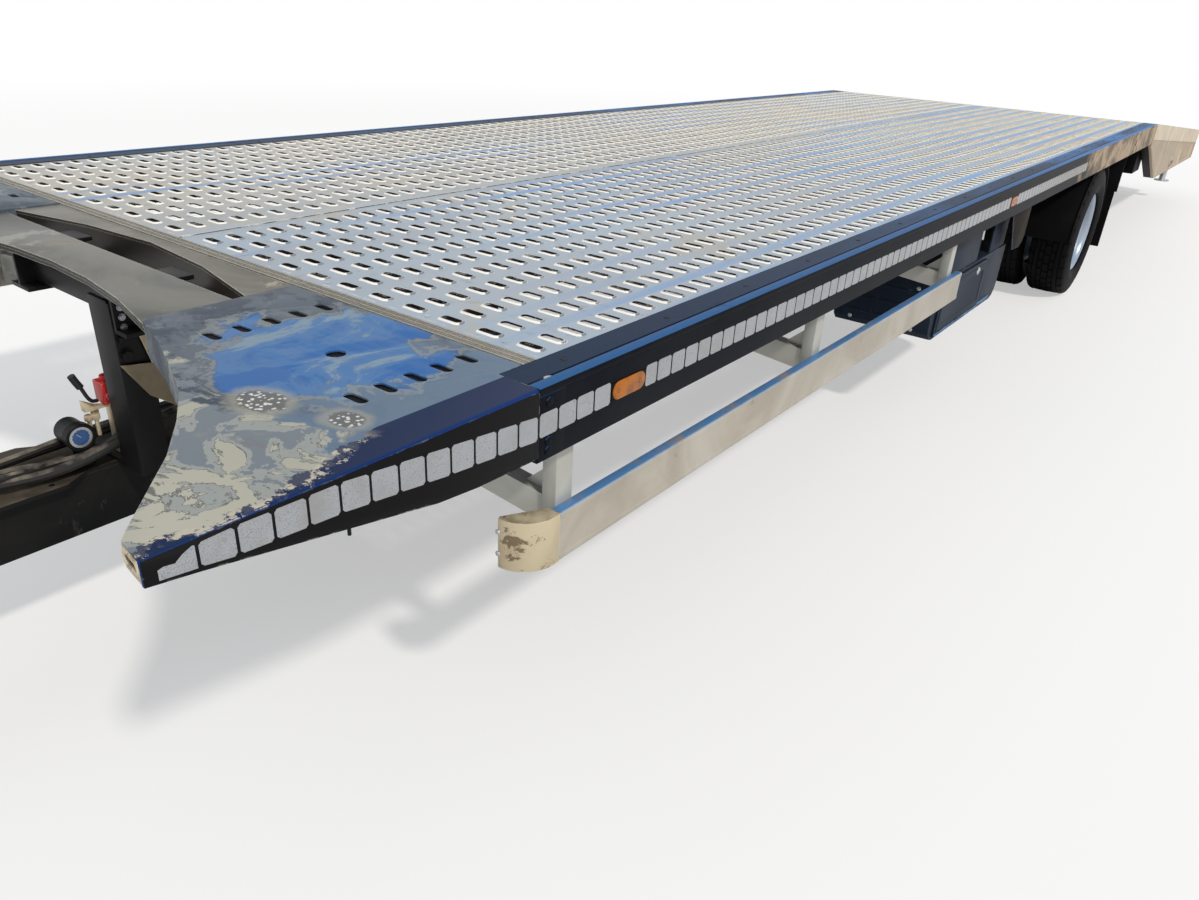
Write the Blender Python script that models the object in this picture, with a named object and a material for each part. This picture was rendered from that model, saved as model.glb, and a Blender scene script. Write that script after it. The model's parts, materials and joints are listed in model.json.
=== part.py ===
"""Car transporter trailer: a drawbar trailer on one axle of twin wheels, with a flat deck,
a sloping tail, pull-out ramps and a jack leg. Metres. Front faces -Y and +X is the left side."""

import math

import bmesh
import bpy
from mathutils import Matrix, Vector

# Stations run rearwards from the front edge of the deck. Drops run down from the deck's top.
# Insets run inwards from the trailer's side.
EYE_TIP = -2.30
TAIL_END = 10.40
MID_STATION = (EYE_TIP + TAIL_END) / 2
DECK_LENGTH = 6.80
HALF_WIDTH = 1.275
FIT_GAP = 0.0003
MOVE_GAP = 0.006
SLIDE_GAP = 0.001
OVERLAP = 0.001

# Wheels
AXLE_STATION = 5.20
TYRE_RADIUS = 0.3945
TYRE_WIDTH = 0.245
TYRE_SECTION = 0.1723
TWIN_SPACING = 0.28
TWIN_MID_X = HALF_WIDTH - 0.2875
RIM_SEAT_RADIUS = TYRE_RADIUS - TYRE_SECTION
RIM_LIP = 0.0158
HUB_RADIUS = RIM_SEAT_RADIUS * 0.477
HUB_INNER_X = TWIN_MID_X - 0.2975
HUB_OUTER_X = TWIN_MID_X + 0.1775
DRUM_RADIUS = RIM_SEAT_RADIUS - 0.067
AXLE_TUBE_RADIUS = 0.060
SPINDLE_RADIUS = 0.035
SPINDLE_END_X = TWIN_MID_X + 0.1125
ROUND_STEPS = 40

# Deck skin, side raves and tail
WHEEL_HEADROOM = 0.161
DECK_HEIGHT = 2 * TYRE_RADIUS + WHEEL_HEADROOM
SKIN = 0.004
RAVE_TOP_WIDTH = 0.095
RAVE_DEPTH = 0.14
RAVE_WEB = 0.006
RAVE_LIP = 0.035
RAVE_START = -0.10
TAIL_DROP = 0.27
TAIL_SIDE_DEPTH = 0.275
TAIL_SIDE_FRONT_DROP = 0.155
TAIL_SIDE_CORNER = (0.80, 0.468)
TAIL_WEB = 0.020

# Front wings and the plate between them
NOSE_STATION = -0.295
SWING_RADIUS = 1.95
WING_WIDTH = 0.745
WING_INNER_X = HALF_WIDTH - WING_WIDTH
WING_REAR = -0.04
WING_EDGE = (  # inset, station from the inner corner
    (0.632, -0.033),
    (0.499, -0.083),
    (0.395, -0.127),
    (0.299, -0.186),
    (0.208, -0.252),
    (0.135, -0.319),
    (0.070, -0.378),
    (0.054, -0.391),
    (0.0, -0.399),
)
WING_CHEEK = ((-0.338, 0.046), (-0.205, 0.071), (0.038, 0.116), (0.124, 0.124))  # station, drop
WING_TIP_DEPTH = 0.036
WING_REAR_DEPTH = 0.128
WING_SLOT_INSETS = (0.582, 0.184)
WING_SLOT_STATIONS = (-0.327, -0.268, -0.205, -0.146, -0.086)
WING_SLOT = (0.045, 0.016)
WING_HOLE = (0.359, -0.229, 0.018)  # inset, station, radius
APRON_DEPTH = 0.075
APRON_TIP_DEPTH = 0.034
APRON_WALL = 0.005
NOSE_PLATE_DROP = 0.008
NOSE_PLATE_REAR = -0.17
NOSE_STRIP_ARC = (-0.150, -0.090, -0.065)  # stations at the ends, halfway and the middle
TRIM_DEPTH = 0.036

# Frame
BEAM_X = 0.23
BEAM_DEPTH = 0.26
BEAM_FLANGE = 0.09
BEAM_FLANGE_THICK = 0.010
BEAM_WEB = 0.010
TAIL_BEAM_DEPTH = 0.20
TAIL_BEAM_END = -0.09
CROSS_WIDTH = 0.05
CROSS_DEPTH = 0.075
CROSS_STATIONS = (0.03, 1.165, 2.50, 3.26, 4.40, 5.20, 6.00, 6.74)
STRINGER_X = 0.62
TAIL_CROSS_STATIONS = (1.00, 2.15, 3.30)  # behind the deck's rear edge
TAIL_CROSS_DEPTH = 0.045

# Drawbar and its hanger
DRAWBAR_HALF_WIDTH = 0.10
DRAWBAR_TOP_DROP = 0.49
DRAWBAR_DEPTH = 0.147
DRAWBAR_FRONT = -2.02
DRAWBAR_REAR = 0.90
SHELF_THICK = 0.010
EYE_OUTER_RADIUS = 0.055
EYE_HOLE_RADIUS = 0.025
EYE_THICK = 0.045
HANGER_X = (0.13, 0.212)
HANGER_STATIONS = (-0.29, -0.22)
HANGER_PLATE = 0.010
HANGER_REAR_STATIONS = (0.10, 0.17)  # the right column's
FRONT_RAIL_DEPTH = 0.125
FRONT_RAIL_STATIONS = (-0.288, -0.118)

# Suspension
ARM_X = BEAM_X + 0.06
ARM_HALF_WIDTH = 0.04
ARM_FRONT = -0.60  # from the axle
ARM_REAR = 0.58
SPRING_SEAT = 0.046  # above the axle
SPRING_STATION = 0.42
SPRING_RADIUS = 0.11

# Mudguards and flaps
MUDGUARD_CLEARANCE = 0.030
MUDGUARD_WALL = 0.004
MUDGUARD_X = (TWIN_MID_X - 0.2775, TWIN_MID_X + 0.2475)
FLAP_STATION = 6.00 + CROSS_WIDTH / 2
FLAP_THICK = 0.008
FLAP_BOARD_BOTTOM = 0.40
FLAP_BOTTOM = 0.78
FLAP_INSET = 0.035

# Side guards
GUARD_INSET = 0.025
GUARD_THICK = 0.025
GUARD_TOP_DROP = 0.290
GUARD_HEIGHT = 0.108
GUARD_START = -0.02
GUARD_END = 2.45
GUARD_CURL_RADIUS = 0.075
POST_STATIONS = (0.035, 1.165, 2.362)
POST_WIDTH = 0.050
POST_DEPTH = 0.035
ARM_DEPTH = 0.062

# Toolboxes
BOX_OUTER_X = HALF_WIDTH - 0.09
BOX_WIDTH = 0.405
BOX_STATIONS = (2.40, 3.37)
BOX_DROPS = (0.34, 0.59)
BOX_WALL = 0.004
BOX_CORNER = 0.07
BOX_HANGERS = ((2.42, 2.92), (3.11, 3.34))
DOOR_THICK = 0.012
DOOR_STATIONS = (2.47, 3.05)
DOOR_DROPS = (0.365, 0.565)
DOOR_LAP = 0.010

# Jack, ramps and rear legs
JACK_X = -DRAWBAR_HALF_WIDTH - 0.07
JACK_STATION = -1.30
JACK_TUBE_RADIUS = 0.042
JACK_LEG_RADIUS = 0.033
JACK_TUBE_DROPS = (0.10, 0.64)
JACK_LEG_INSIDE = 0.21
JACK_CAP = 0.010
JACK_FOOT_RADIUS = 0.11
JACK_FOOT_THICK = 0.015
RAMP_INSET = 0.315
RAMP_WIDTH = 0.46
RAMP_OUTER_X = HALF_WIDTH - RAMP_INSET
RAMP_LENGTH = 2.75
RAMP_END = -0.02
RAMP_RAIL_WIDTH = 0.03
RAMP_DROPS = (0.056, 0.126)
RAMP_RUNGS = 9
CARRIER_DEPTH = 0.03
LEG_X = HALF_WIDTH - 0.175
LEG_STATION = 10.15
LEG_RADIUS = 0.030
LEG_GUIDE_HALF_WIDTH = 0.048
LEG_GUIDE_DROPS = (0.34, 0.545)
LEG_FOOT_HEIGHT = 0.17
LEG_FOOT_RADIUS = 0.07
LAMP_BAR_DROP = 0.17  # below the tail's end
LAMP_X = (HALF_WIDTH - 0.355, HALF_WIDTH - 0.055)
LAMP_THICK = 0.030

TAIL_LENGTH = TAIL_END - DECK_LENGTH
TAIL_SLOPE = math.atan2(TAIL_DROP, TAIL_LENGTH)
SKIN_UNDER = DECK_HEIGHT - SKIN - FIT_GAP
CROSS_UNDER = SKIN_UNDER - CROSS_DEPTH
BEAM_BOTTOM = DECK_HEIGHT - BEAM_DEPTH

COLORS = {
    "galvanised": (0.62, 0.64, 0.66, 0.9, 0.35),
    "frame_steel": (0.10, 0.11, 0.13, 0.5, 0.5),
    "rave_paint": (0.03, 0.04, 0.08, 0.2, 0.45),
    "tail_paint": (0.42, 0.36, 0.30, 0.1, 0.6),
    "aluminium": (0.78, 0.79, 0.80, 0.95, 0.25),
    "toolbox_plastic": (0.05, 0.06, 0.08, 0.0, 0.5),
    "tyre": (0.02, 0.02, 0.02, 0.0, 0.8),
    "black_plastic": (0.02, 0.02, 0.025, 0.0, 0.6),
    "red_lens": (0.5, 0.02, 0.02, 0.0, 0.25),
    "valve_red": (0.45, 0.03, 0.03, 0.0, 0.4),
    "air_spring_rubber": (0.03, 0.03, 0.03, 0.0, 0.7),
}


def at(station):
    """The Y of a station."""
    return station - MID_STATION


def above(drop):
    """The height of a point this far below the deck's top."""
    return DECK_HEIGHT - drop


def material(name):
    found = bpy.data.materials.get(name)
    if found:
        return found
    made = bpy.data.materials.new(name)
    made.use_nodes = True
    shader = made.node_tree.nodes["Principled BSDF"]
    r, g, b, metal, rough = COLORS[name]
    shader.inputs["Base Color"].default_value = (r, g, b, 1.0)
    shader.inputs["Metallic"].default_value = metal
    shader.inputs["Roughness"].default_value = rough
    return made


def mesh_object(name, mesh, collection):
    made = bpy.data.objects.new(name, mesh)
    collection.objects.link(made)
    return made


def from_bmesh(name, shape):
    mesh = bpy.data.meshes.new(name)
    bmesh.ops.recalc_face_normals(shape, faces=shape.faces)
    shape.to_mesh(mesh)
    shape.free()
    return mesh_object(name, mesh, HELPERS)


def box(low, high):
    """A block between two corners."""
    shape = bmesh.new()
    size = Vector(high) - Vector(low)
    middle = (Vector(high) + Vector(low)) / 2
    bmesh.ops.create_cube(shape, size=1.0, matrix=Matrix.Translation(middle) @ Matrix.Diagonal((*size, 1.0)))
    return from_bmesh("block", shape)


def rod(low, high, radius, steps=24, end_radius=None):
    """A round bar between two points, which tapers if end_radius is given."""
    shape = bmesh.new()
    run = Vector(high) - Vector(low)
    turn = run.to_track_quat("Z", "Y").to_matrix().to_4x4()
    place = Matrix.Translation((Vector(high) + Vector(low)) / 2) @ turn
    ends = {"radius1": radius, "radius2": end_radius or radius}
    bmesh.ops.create_cone(shape, cap_ends=True, segments=steps, depth=run.length, matrix=place, **ends)
    return from_bmesh("rod", shape)


def plate(outline, axis, start, end, holes=()):
    """A flat outline, with holes, given thickness along X, Y or Z."""
    curve = bpy.data.curves.new("outline", "CURVE")
    curve.dimensions = "2D"
    curve.fill_mode = "BOTH"
    curve.extrude = abs(end - start) / 2
    for points in (outline, *holes):
        spline = curve.splines.new("POLY")
        spline.points.add(len(points) - 1)
        for point, (u, v) in zip(spline.points, points):
            point.co = (u, v, 0.0, 1.0)
        spline.use_cyclic_u = True
    flat = mesh_object("outline", curve, HELPERS)
    bpy.context.view_layer.update()
    mesh = bpy.data.meshes.new_from_object(flat)
    bpy.data.objects.remove(flat)
    bpy.data.curves.remove(curve)
    middle = (start + end) / 2
    turns = {
        "Z": Matrix(((1, 0, 0, 0), (0, 1, 0, 0), (0, 0, 1, middle), (0, 0, 0, 1))),
        "X": Matrix(((0, 0, 1, middle), (1, 0, 0, 0), (0, 1, 0, 0), (0, 0, 0, 1))),
        "Y": Matrix(((1, 0, 0, 0), (0, 0, -1, middle), (0, 1, 0, 0), (0, 0, 0, 1))),
    }
    shape = bmesh.new()
    shape.from_mesh(mesh)
    bpy.data.meshes.remove(mesh)
    bmesh.ops.remove_doubles(shape, verts=shape.verts, dist=0.00005)
    shape.transform(turns[axis])
    return from_bmesh("plate", shape)


def turned(profile, steps, middle):
    """A closed profile of (x, radius) points turned about the X axis through a point."""
    shape = bmesh.new()
    ring = [shape.verts.new((x, 0.0, -r)) for x, r in profile]
    shape.faces.new(ring)
    edges = list(shape.edges)
    for face in list(shape.faces):
        shape.faces.remove(face)
    bmesh.ops.spin(
        shape,
        geom=list(shape.verts) + edges,
        cent=(0, 0, 0),
        axis=(1, 0, 0),
        angle=math.tau,
        steps=steps,
        use_merge=True,
    )
    bmesh.ops.remove_doubles(shape, verts=shape.verts, dist=0.00005)
    shape.transform(Matrix.Translation(middle))
    return from_bmesh("turned", shape)


def joined(pieces, operation="UNION"):
    """One mesh from the first piece and the rest, united with it or cut from it."""
    first, rest = pieces[0], pieces[1:]
    group = bpy.data.collections.new("operands")
    bpy.context.scene.collection.children.link(group)
    for piece in rest:
        HELPERS.objects.unlink(piece)
        group.objects.link(piece)
    if rest:
        change = first.modifiers.new("join", "BOOLEAN")
        change.operation = operation
        change.solver = "EXACT"
        change.operand_type = "COLLECTION"
        change.collection = group
        bpy.context.view_layer.update()
        graph = bpy.context.evaluated_depsgraph_get()
        mesh = bpy.data.meshes.new_from_object(first.evaluated_get(graph))
        first.modifiers.clear()
        first.data = mesh
    for piece in rest:
        bpy.data.objects.remove(piece)
    bpy.data.collections.remove(group)
    return first


def turned_down(piece):
    """The piece pitched to the tail's slope about the rear edge of the deck's top."""
    hinge = Matrix.Translation((0, at(DECK_LENGTH), DECK_HEIGHT))
    piece.data.transform(hinge @ Matrix.Rotation(-TAIL_SLOPE, 4, "X") @ hinge.inverted())
    return piece


def node(name, piece, finish, origin=(0, 0, 0), smooth=False):
    """The piece as a named part of the trailer, its origin on the joint's axis where it moves."""
    mesh = piece.data.copy()
    bpy.data.objects.remove(piece)
    mesh.name = name
    mesh.materials.clear()
    mesh.materials.append(material(finish))
    mesh.transform(Matrix.Translation(-Vector(origin)))
    made = mesh_object(name, mesh, TRAILER)
    made.location = origin
    if smooth:
        mesh.shade_smooth()
    return made


def both_sides(name, piece, finish, origin=(0, 0, 0), smooth=False):
    """A left node and its mirror image on the right."""
    other = mesh_object("mirrored", piece.data.copy(), HELPERS)
    other.data.transform(Matrix.Diagonal((-1.0, 1.0, 1.0, 1.0)))
    other.data.flip_normals()
    node(name + "_left", piece, finish, origin, smooth)
    node(name + "_right", other, finish, (-origin[0], origin[1], origin[2]), smooth)


def slot_outline(middle, length, width):
    """A slot with round ends, along X."""
    reach, radius = (length - width) / 2, width / 2
    points = []
    for side, turn in ((1, -90), (-1, 90)):
        for step in range(4):
            angle = math.radians(turn + step * 60)
            x = middle[0] + side * reach + radius * math.cos(angle)
            points.append((x, middle[1] + radius * math.sin(angle)))
    return points


def nose_station(x):
    """The station of the nose's arc, which the towing vehicle's corners clear."""
    return NOSE_STATION - SWING_RADIUS + math.sqrt(SWING_RADIUS**2 - x**2)


def deck():
    rave_x = HALF_WIDTH - RAVE_TOP_WIDTH
    sheet = box((FIT_GAP / 2, at(FIT_GAP), above(SKIN)), (rave_x - FIT_GAP, at(DECK_LENGTH), DECK_HEIGHT))
    both_sides("deck_sheet", sheet, "galvanised")
    inner = HALF_WIDTH - RAVE_WEB
    profile = [
        (rave_x, above(0)),
        (HALF_WIDTH, above(0)),
        (HALF_WIDTH, above(RAVE_DEPTH)),
        (HALF_WIDTH - RAVE_LIP, above(RAVE_DEPTH)),
        (HALF_WIDTH - RAVE_LIP, above(RAVE_DEPTH - SKIN)),
        (inner, above(RAVE_DEPTH - SKIN)),
        (inner, above(SKIN)),
        (rave_x, above(SKIN)),
    ]
    both_sides("side_rave", plate(profile, "Y", at(RAVE_START), at(DECK_LENGTH)), "rave_paint")


def front_wings():
    outer_x = HALF_WIDTH - FIT_GAP
    rave_x = HALF_WIDTH - RAVE_TOP_WIDTH - FIT_GAP
    rear = RAVE_START - FIT_GAP
    corner = nose_station(WING_INNER_X)
    edge = [(WING_INNER_X, at(corner))] + [(outer_x - inset, at(corner + s)) for inset, s in WING_EDGE]
    outline = [(rave_x, at(WING_REAR)), (rave_x, at(rear)), (outer_x, at(rear)), *reversed(edge)]
    outline.append((WING_INNER_X, at(WING_REAR)))
    middles = [(HALF_WIDTH - inset, at(s)) for inset in WING_SLOT_INSETS for s in WING_SLOT_STATIONS]
    holes = [slot_outline(middle, *WING_SLOT) for middle in middles]
    inset, station, radius = WING_HOLE
    x, y = HALF_WIDTH - inset, at(station)
    turns = [math.tau * step / 12 for step in range(12)]
    holes.append([(x + radius * math.cos(a), y + radius * math.sin(a)) for a in turns])
    top = plate(outline, "Z", above(SKIN), above(0), holes)
    tip = at(corner + WING_EDGE[-1][1])
    lower = [(tip, above(WING_TIP_DEPTH))] + [(at(corner + s), above(d)) for s, d in WING_CHEEK]
    side = [(at(rear), above(OVERLAP)), (tip, above(OVERLAP)), *lower, (at(rear), above(WING_REAR_DEPTH))]
    cheek = plate(side, "X", outer_x - APRON_WALL, outer_x)

    def band(points, depth):
        strip = [(x, y + OVERLAP) for x, y in points]
        strip += [(x, y + OVERLAP + APRON_WALL) for x, y in reversed(points)]
        return plate(strip, "Z", above(depth), above(OVERLAP))

    wall = box(
        (WING_INNER_X, at(corner) + OVERLAP, above(APRON_DEPTH)),
        (WING_INNER_X + APRON_WALL, at(WING_REAR), above(OVERLAP)),
    )
    pieces = [top, cheek, band(edge[:5], APRON_DEPTH), band(edge[4:-1], APRON_TIP_DEPTH), wall]
    both_sides("front_wing", joined(pieces), "galvanised")


def nose():
    """The plate between the wings and the cross panel behind it."""
    reach = WING_INNER_X - FIT_GAP
    steps = [reach * (step / 6 * 2 - 1) for step in range(7)]
    arc = [(x, at(nose_station(x))) for x in steps]
    high, low = above(NOSE_PLATE_DROP), above(NOSE_PLATE_DROP + 0.008)
    front = plate([*arc, (reach, at(NOSE_PLATE_REAR)), (-reach, at(NOSE_PLATE_REAR))], "Z", low, high)
    skirt = [(x, y + OVERLAP) for x, y in arc] + [(x, y + OVERLAP + 0.006) for x, y in reversed(arc)]
    skirt = plate(skirt, "Z", low - 0.010, high - OVERLAP)
    node("front_center_plate", joined([front, skirt]), "frame_steel")
    inner = HALF_WIDTH - RAVE_WEB - FIT_GAP
    bar = box((-inner, at(-TRIM_DEPTH), SKIN_UNDER - CROSS_DEPTH), (inner, at(-FIT_GAP), SKIN_UNDER))
    trim_x = HALF_WIDTH - RAVE_TOP_WIDTH - FIT_GAP
    trim = box((-trim_x, at(-TRIM_DEPTH), SKIN_UNDER - OVERLAP), (trim_x, at(-FIT_GAP), DECK_HEIGHT))
    ends, halfway, middle = NOSE_STRIP_ARC
    stations = ((-reach, ends), (-reach / 2, halfway), (0, middle), (reach / 2, halfway), (reach, ends))
    arc = [(x, at(s)) for x, s in stations]
    rear = at(-TRIM_DEPTH + OVERLAP)
    strip = plate([*arc, (reach, rear), (-reach, rear)], "Z", above(0.012), above(SKIN))
    web = [(x, y + OVERLAP) for x, y in arc] + [(x, y + OVERLAP + 0.006) for x, y in reversed(arc)]
    web = plate(web, "Z", SKIN_UNDER - CROSS_DEPTH, above(SKIN + OVERLAP))
    node("front_cross_panel", joined([bar, trim, strip, web]), "galvanised")


def beam_outline(middle, top, bottom):
    """An I-section about X = middle."""
    half, thick, web = BEAM_FLANGE / 2, BEAM_FLANGE_THICK, BEAM_WEB / 2
    right = [(half, top), (half, top - thick), (web, top - thick), (web, bottom + thick)]
    right += [(half, bottom + thick), (half, bottom)]
    return [(middle + x, z) for x, z in right] + [(middle - x, z) for x, z in reversed(right)]


def frame():
    high = CROSS_UNDER - FIT_GAP
    beam = plate(beam_outline(BEAM_X, high, BEAM_BOTTOM), "Y", at(0), at(DECK_LENGTH))
    tail = [
        (DECK_LENGTH - 0.02, DECK_HEIGHT - high + OVERLAP),
        (TAIL_END + TAIL_BEAM_END, TAIL_DROP + CROSS_DEPTH + SKIN),
        (TAIL_END + TAIL_BEAM_END, TAIL_DROP + TAIL_BEAM_DEPTH),
        (DECK_LENGTH - 0.02, BEAM_DEPTH - OVERLAP),
    ]
    spine = plate([(at(s), above(d)) for s, d in tail], "X", BEAM_X - 0.02, BEAM_X + 0.02)
    front = at(AXLE_STATION + ARM_FRONT)
    bracket = box(
        (ARM_X - ARM_HALF_WIDTH, front - 0.10, TYRE_RADIUS - 0.02),
        (ARM_X + ARM_HALF_WIDTH, front, BEAM_BOTTOM + OVERLAP),
    )
    both_sides("main_beam", joined([beam, spine, bracket]), "frame_steel")
    reach = HALF_WIDTH - RAVE_WEB - FIT_GAP
    half = CROSS_WIDTH / 2
    pieces = []
    for station in CROSS_STATIONS:
        low, high = (-reach, at(station) - half, CROSS_UNDER), (reach, at(station) + half, SKIN_UNDER)
        pieces.append(box(low, high))
    first, last = at(CROSS_STATIONS[0]), at(CROSS_STATIONS[-1])
    for x in (-STRINGER_X, STRINGER_X):
        pieces.append(box((x - 0.02, first, SKIN_UNDER - 0.045), (x + 0.02, last, SKIN_UNDER - OVERLAP)))
    node("deck_ladder", joined(pieces), "frame_steel")
    reach = HALF_WIDTH - TAIL_WEB - FIT_GAP
    top, bottom = SKIN_UNDER, above(TAIL_CROSS_DEPTH)
    carrier_top = above(RAMP_DROPS[1] + SLIDE_GAP)
    outer, inner = RAMP_OUTER_X + MOVE_GAP, RAMP_OUTER_X - RAMP_WIDTH - MOVE_GAP
    pieces = []
    for station in TAIL_CROSS_STATIONS:
        front, rear = at(DECK_LENGTH + station) - half, at(DECK_LENGTH + station) + half
        pieces.append(box((-reach, front, bottom), (reach, rear, top)))
        for side in (-1, 1):
            for x in (side * (outer + 0.01), side * (inner - 0.01)):
                low = carrier_top - CARRIER_DEPTH
                pieces.append(box((x - 0.01, front, low), (x + 0.01, rear, bottom + OVERLAP)))
            ends = sorted((side * (outer + 0.01), side * (inner - 0.01)))
            pieces.append(box((ends[0], front, carrier_top - CARRIER_DEPTH), (ends[1], rear, carrier_top)))
    first = at(DECK_LENGTH + TAIL_CROSS_STATIONS[0])
    last = at(DECK_LENGTH + TAIL_CROSS_STATIONS[-1])
    for x in (-outer - 0.01, outer + 0.01):
        pieces.append(box((x - 0.01, first, bottom + 0.005), (x + 0.01, last, top - OVERLAP)))
    node("tail_ladder", turned_down(joined(pieces)), "frame_steel")


def tail():
    start, end = at(DECK_LENGTH + FIT_GAP), at(TAIL_END)
    rave_x = HALF_WIDTH - RAVE_TOP_WIDTH
    floor = [(start, above(0)), (end, above(TAIL_DROP))]
    floor += [(end, above(TAIL_DROP + SKIN)), (start, above(SKIN))]
    node("tail_floor", plate(floor, "X", -rave_x + FIT_GAP, rave_x - FIT_GAP), "galvanised")
    side = [
        (start, above(OVERLAP)),
        (end, above(TAIL_DROP + OVERLAP)),
        (end, above(TAIL_DROP + TAIL_SIDE_DEPTH)),
        (at(DECK_LENGTH + TAIL_SIDE_CORNER[0]), above(TAIL_SIDE_CORNER[1])),
        (start, above(TAIL_SIDE_FRONT_DROP)),
    ]
    panel = plate(side, "X", HALF_WIDTH - TAIL_WEB, HALF_WIDTH)
    both_sides("tail_side", joined([panel, plate(floor, "X", rave_x, HALF_WIDTH)]), "tail_paint")
    high, low = above(TAIL_DROP + LAMP_BAR_DROP), above(TAIL_DROP + TAIL_SIDE_DEPTH)
    wide = HALF_WIDTH - TAIL_WEB - FIT_GAP
    face = end - LAMP_THICK
    pieces = [box((-wide, face - 0.045, low), (wide, face, high))]
    y, half = at(LEG_STATION), LEG_GUIDE_HALF_WIDTH
    guide_top, guide_bottom = (above(drop) for drop in LEG_GUIDE_DROPS)
    for x in (-LEG_X, LEG_X):
        pieces.append(box((x - half, y - half, guide_bottom), (x + half, y + half, guide_top)))
        pieces.append(box((x - half, y + half - OVERLAP, low), (x + half, face - 0.044, high)))
    bar = joined(pieces)
    radius = LEG_RADIUS + SLIDE_GAP
    holes = [rod((x, y, guide_bottom - 0.1), (x, y, guide_top + 0.1), radius) for x in (-LEG_X, LEG_X)]
    node("tail_lamp_bar", joined([bar, *holes], "DIFFERENCE"), "frame_steel")
    lamp = box((LAMP_X[0], face + FIT_GAP, low + 0.012), (LAMP_X[1], end, high - 0.012))
    both_sides("tail_lamp", lamp, "red_lens")
    foot = LEG_FOOT_HEIGHT
    leg = rod((LEG_X, y, foot), (LEG_X, y, guide_top), LEG_RADIUS)
    pad = rod((LEG_X, y, foot), (LEG_X, y, foot + 0.012), LEG_FOOT_RADIUS)
    both_sides("rear_leg", joined([leg, pad]), "galvanised", (LEG_X, y, foot))


def ramps():
    low_x, high_x = RAMP_OUTER_X - RAMP_WIDTH, RAMP_OUTER_X
    high, low = (above(drop) for drop in RAMP_DROPS)
    rear = at(TAIL_END + RAMP_END)
    front = rear - RAMP_LENGTH
    pieces = [
        box((low_x, front, low), (low_x + RAMP_RAIL_WIDTH, rear, high)),
        box((high_x - RAMP_RAIL_WIDTH, front, low), (high_x, rear, high)),
    ]
    for step in range(RAMP_RUNGS):
        y = front + 0.03 + step * (RAMP_LENGTH - 0.06) / (RAMP_RUNGS - 1)
        pieces.append(box((low_x + 0.01, y - 0.02, low + 0.03), (high_x - 0.01, y + 0.02, high - 0.005)))
    both_sides("loading_ramp", turned_down(joined(pieces)), "aluminium")


def drawbar():
    half = DRAWBAR_HALF_WIDTH
    top, bottom = above(DRAWBAR_TOP_DROP), above(DRAWBAR_TOP_DROP + DRAWBAR_DEPTH)
    beam = box((-half, at(DRAWBAR_FRONT), bottom), (half, at(DRAWBAR_REAR), top))
    wide = half + 0.035
    ledge = [(wide, -0.80), (wide, -0.42), (half - 0.002, -0.36), (half - 0.002, -0.14)]
    outline = [(x, at(s)) for x, s in ledge] + [(-x, at(s)) for x, s in reversed(ledge)]
    shelf = plate(outline, "Z", top - OVERLAP, top + SHELF_THICK)
    cross = box((-BEAM_X - 0.07, at(DRAWBAR_REAR - 0.10), bottom), (BEAM_X + 0.07, at(DRAWBAR_REAR), top))
    arms = [
        box(
            (side * BEAM_X - 0.012, at(DRAWBAR_REAR - 0.30), bottom),
            (side * BEAM_X + 0.012, at(DRAWBAR_REAR), BEAM_BOTTOM - FIT_GAP),
        )
        for side in (-1, 1)
    ]
    node("drawbar_beam", joined([beam, shelf, cross, *arms]), "frame_steel")
    z = (top + bottom) / 2
    y = at(EYE_TIP + EYE_OUTER_RADIUS)
    ring = rod((0, y, z - EYE_THICK / 2), (0, y, z + EYE_THICK / 2), EYE_OUTER_RADIUS, 32)
    shank = box((-0.03, y + 0.035, z - 0.022), (0.03, at(DRAWBAR_FRONT) - 0.01, z + 0.022))
    front = at(DRAWBAR_FRONT)
    flange = box((-0.085, front - 0.025, z - 0.065), (0.085, front - FIT_GAP, z + 0.065))
    hole = rod((0, y, z - 0.1), (0, y, z + 0.1), EYE_HOLE_RADIUS, 32)
    node("drawbar_eye", joined([joined([ring, shank, flange]), hole], "DIFFERENCE"), "frame_steel")


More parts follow.
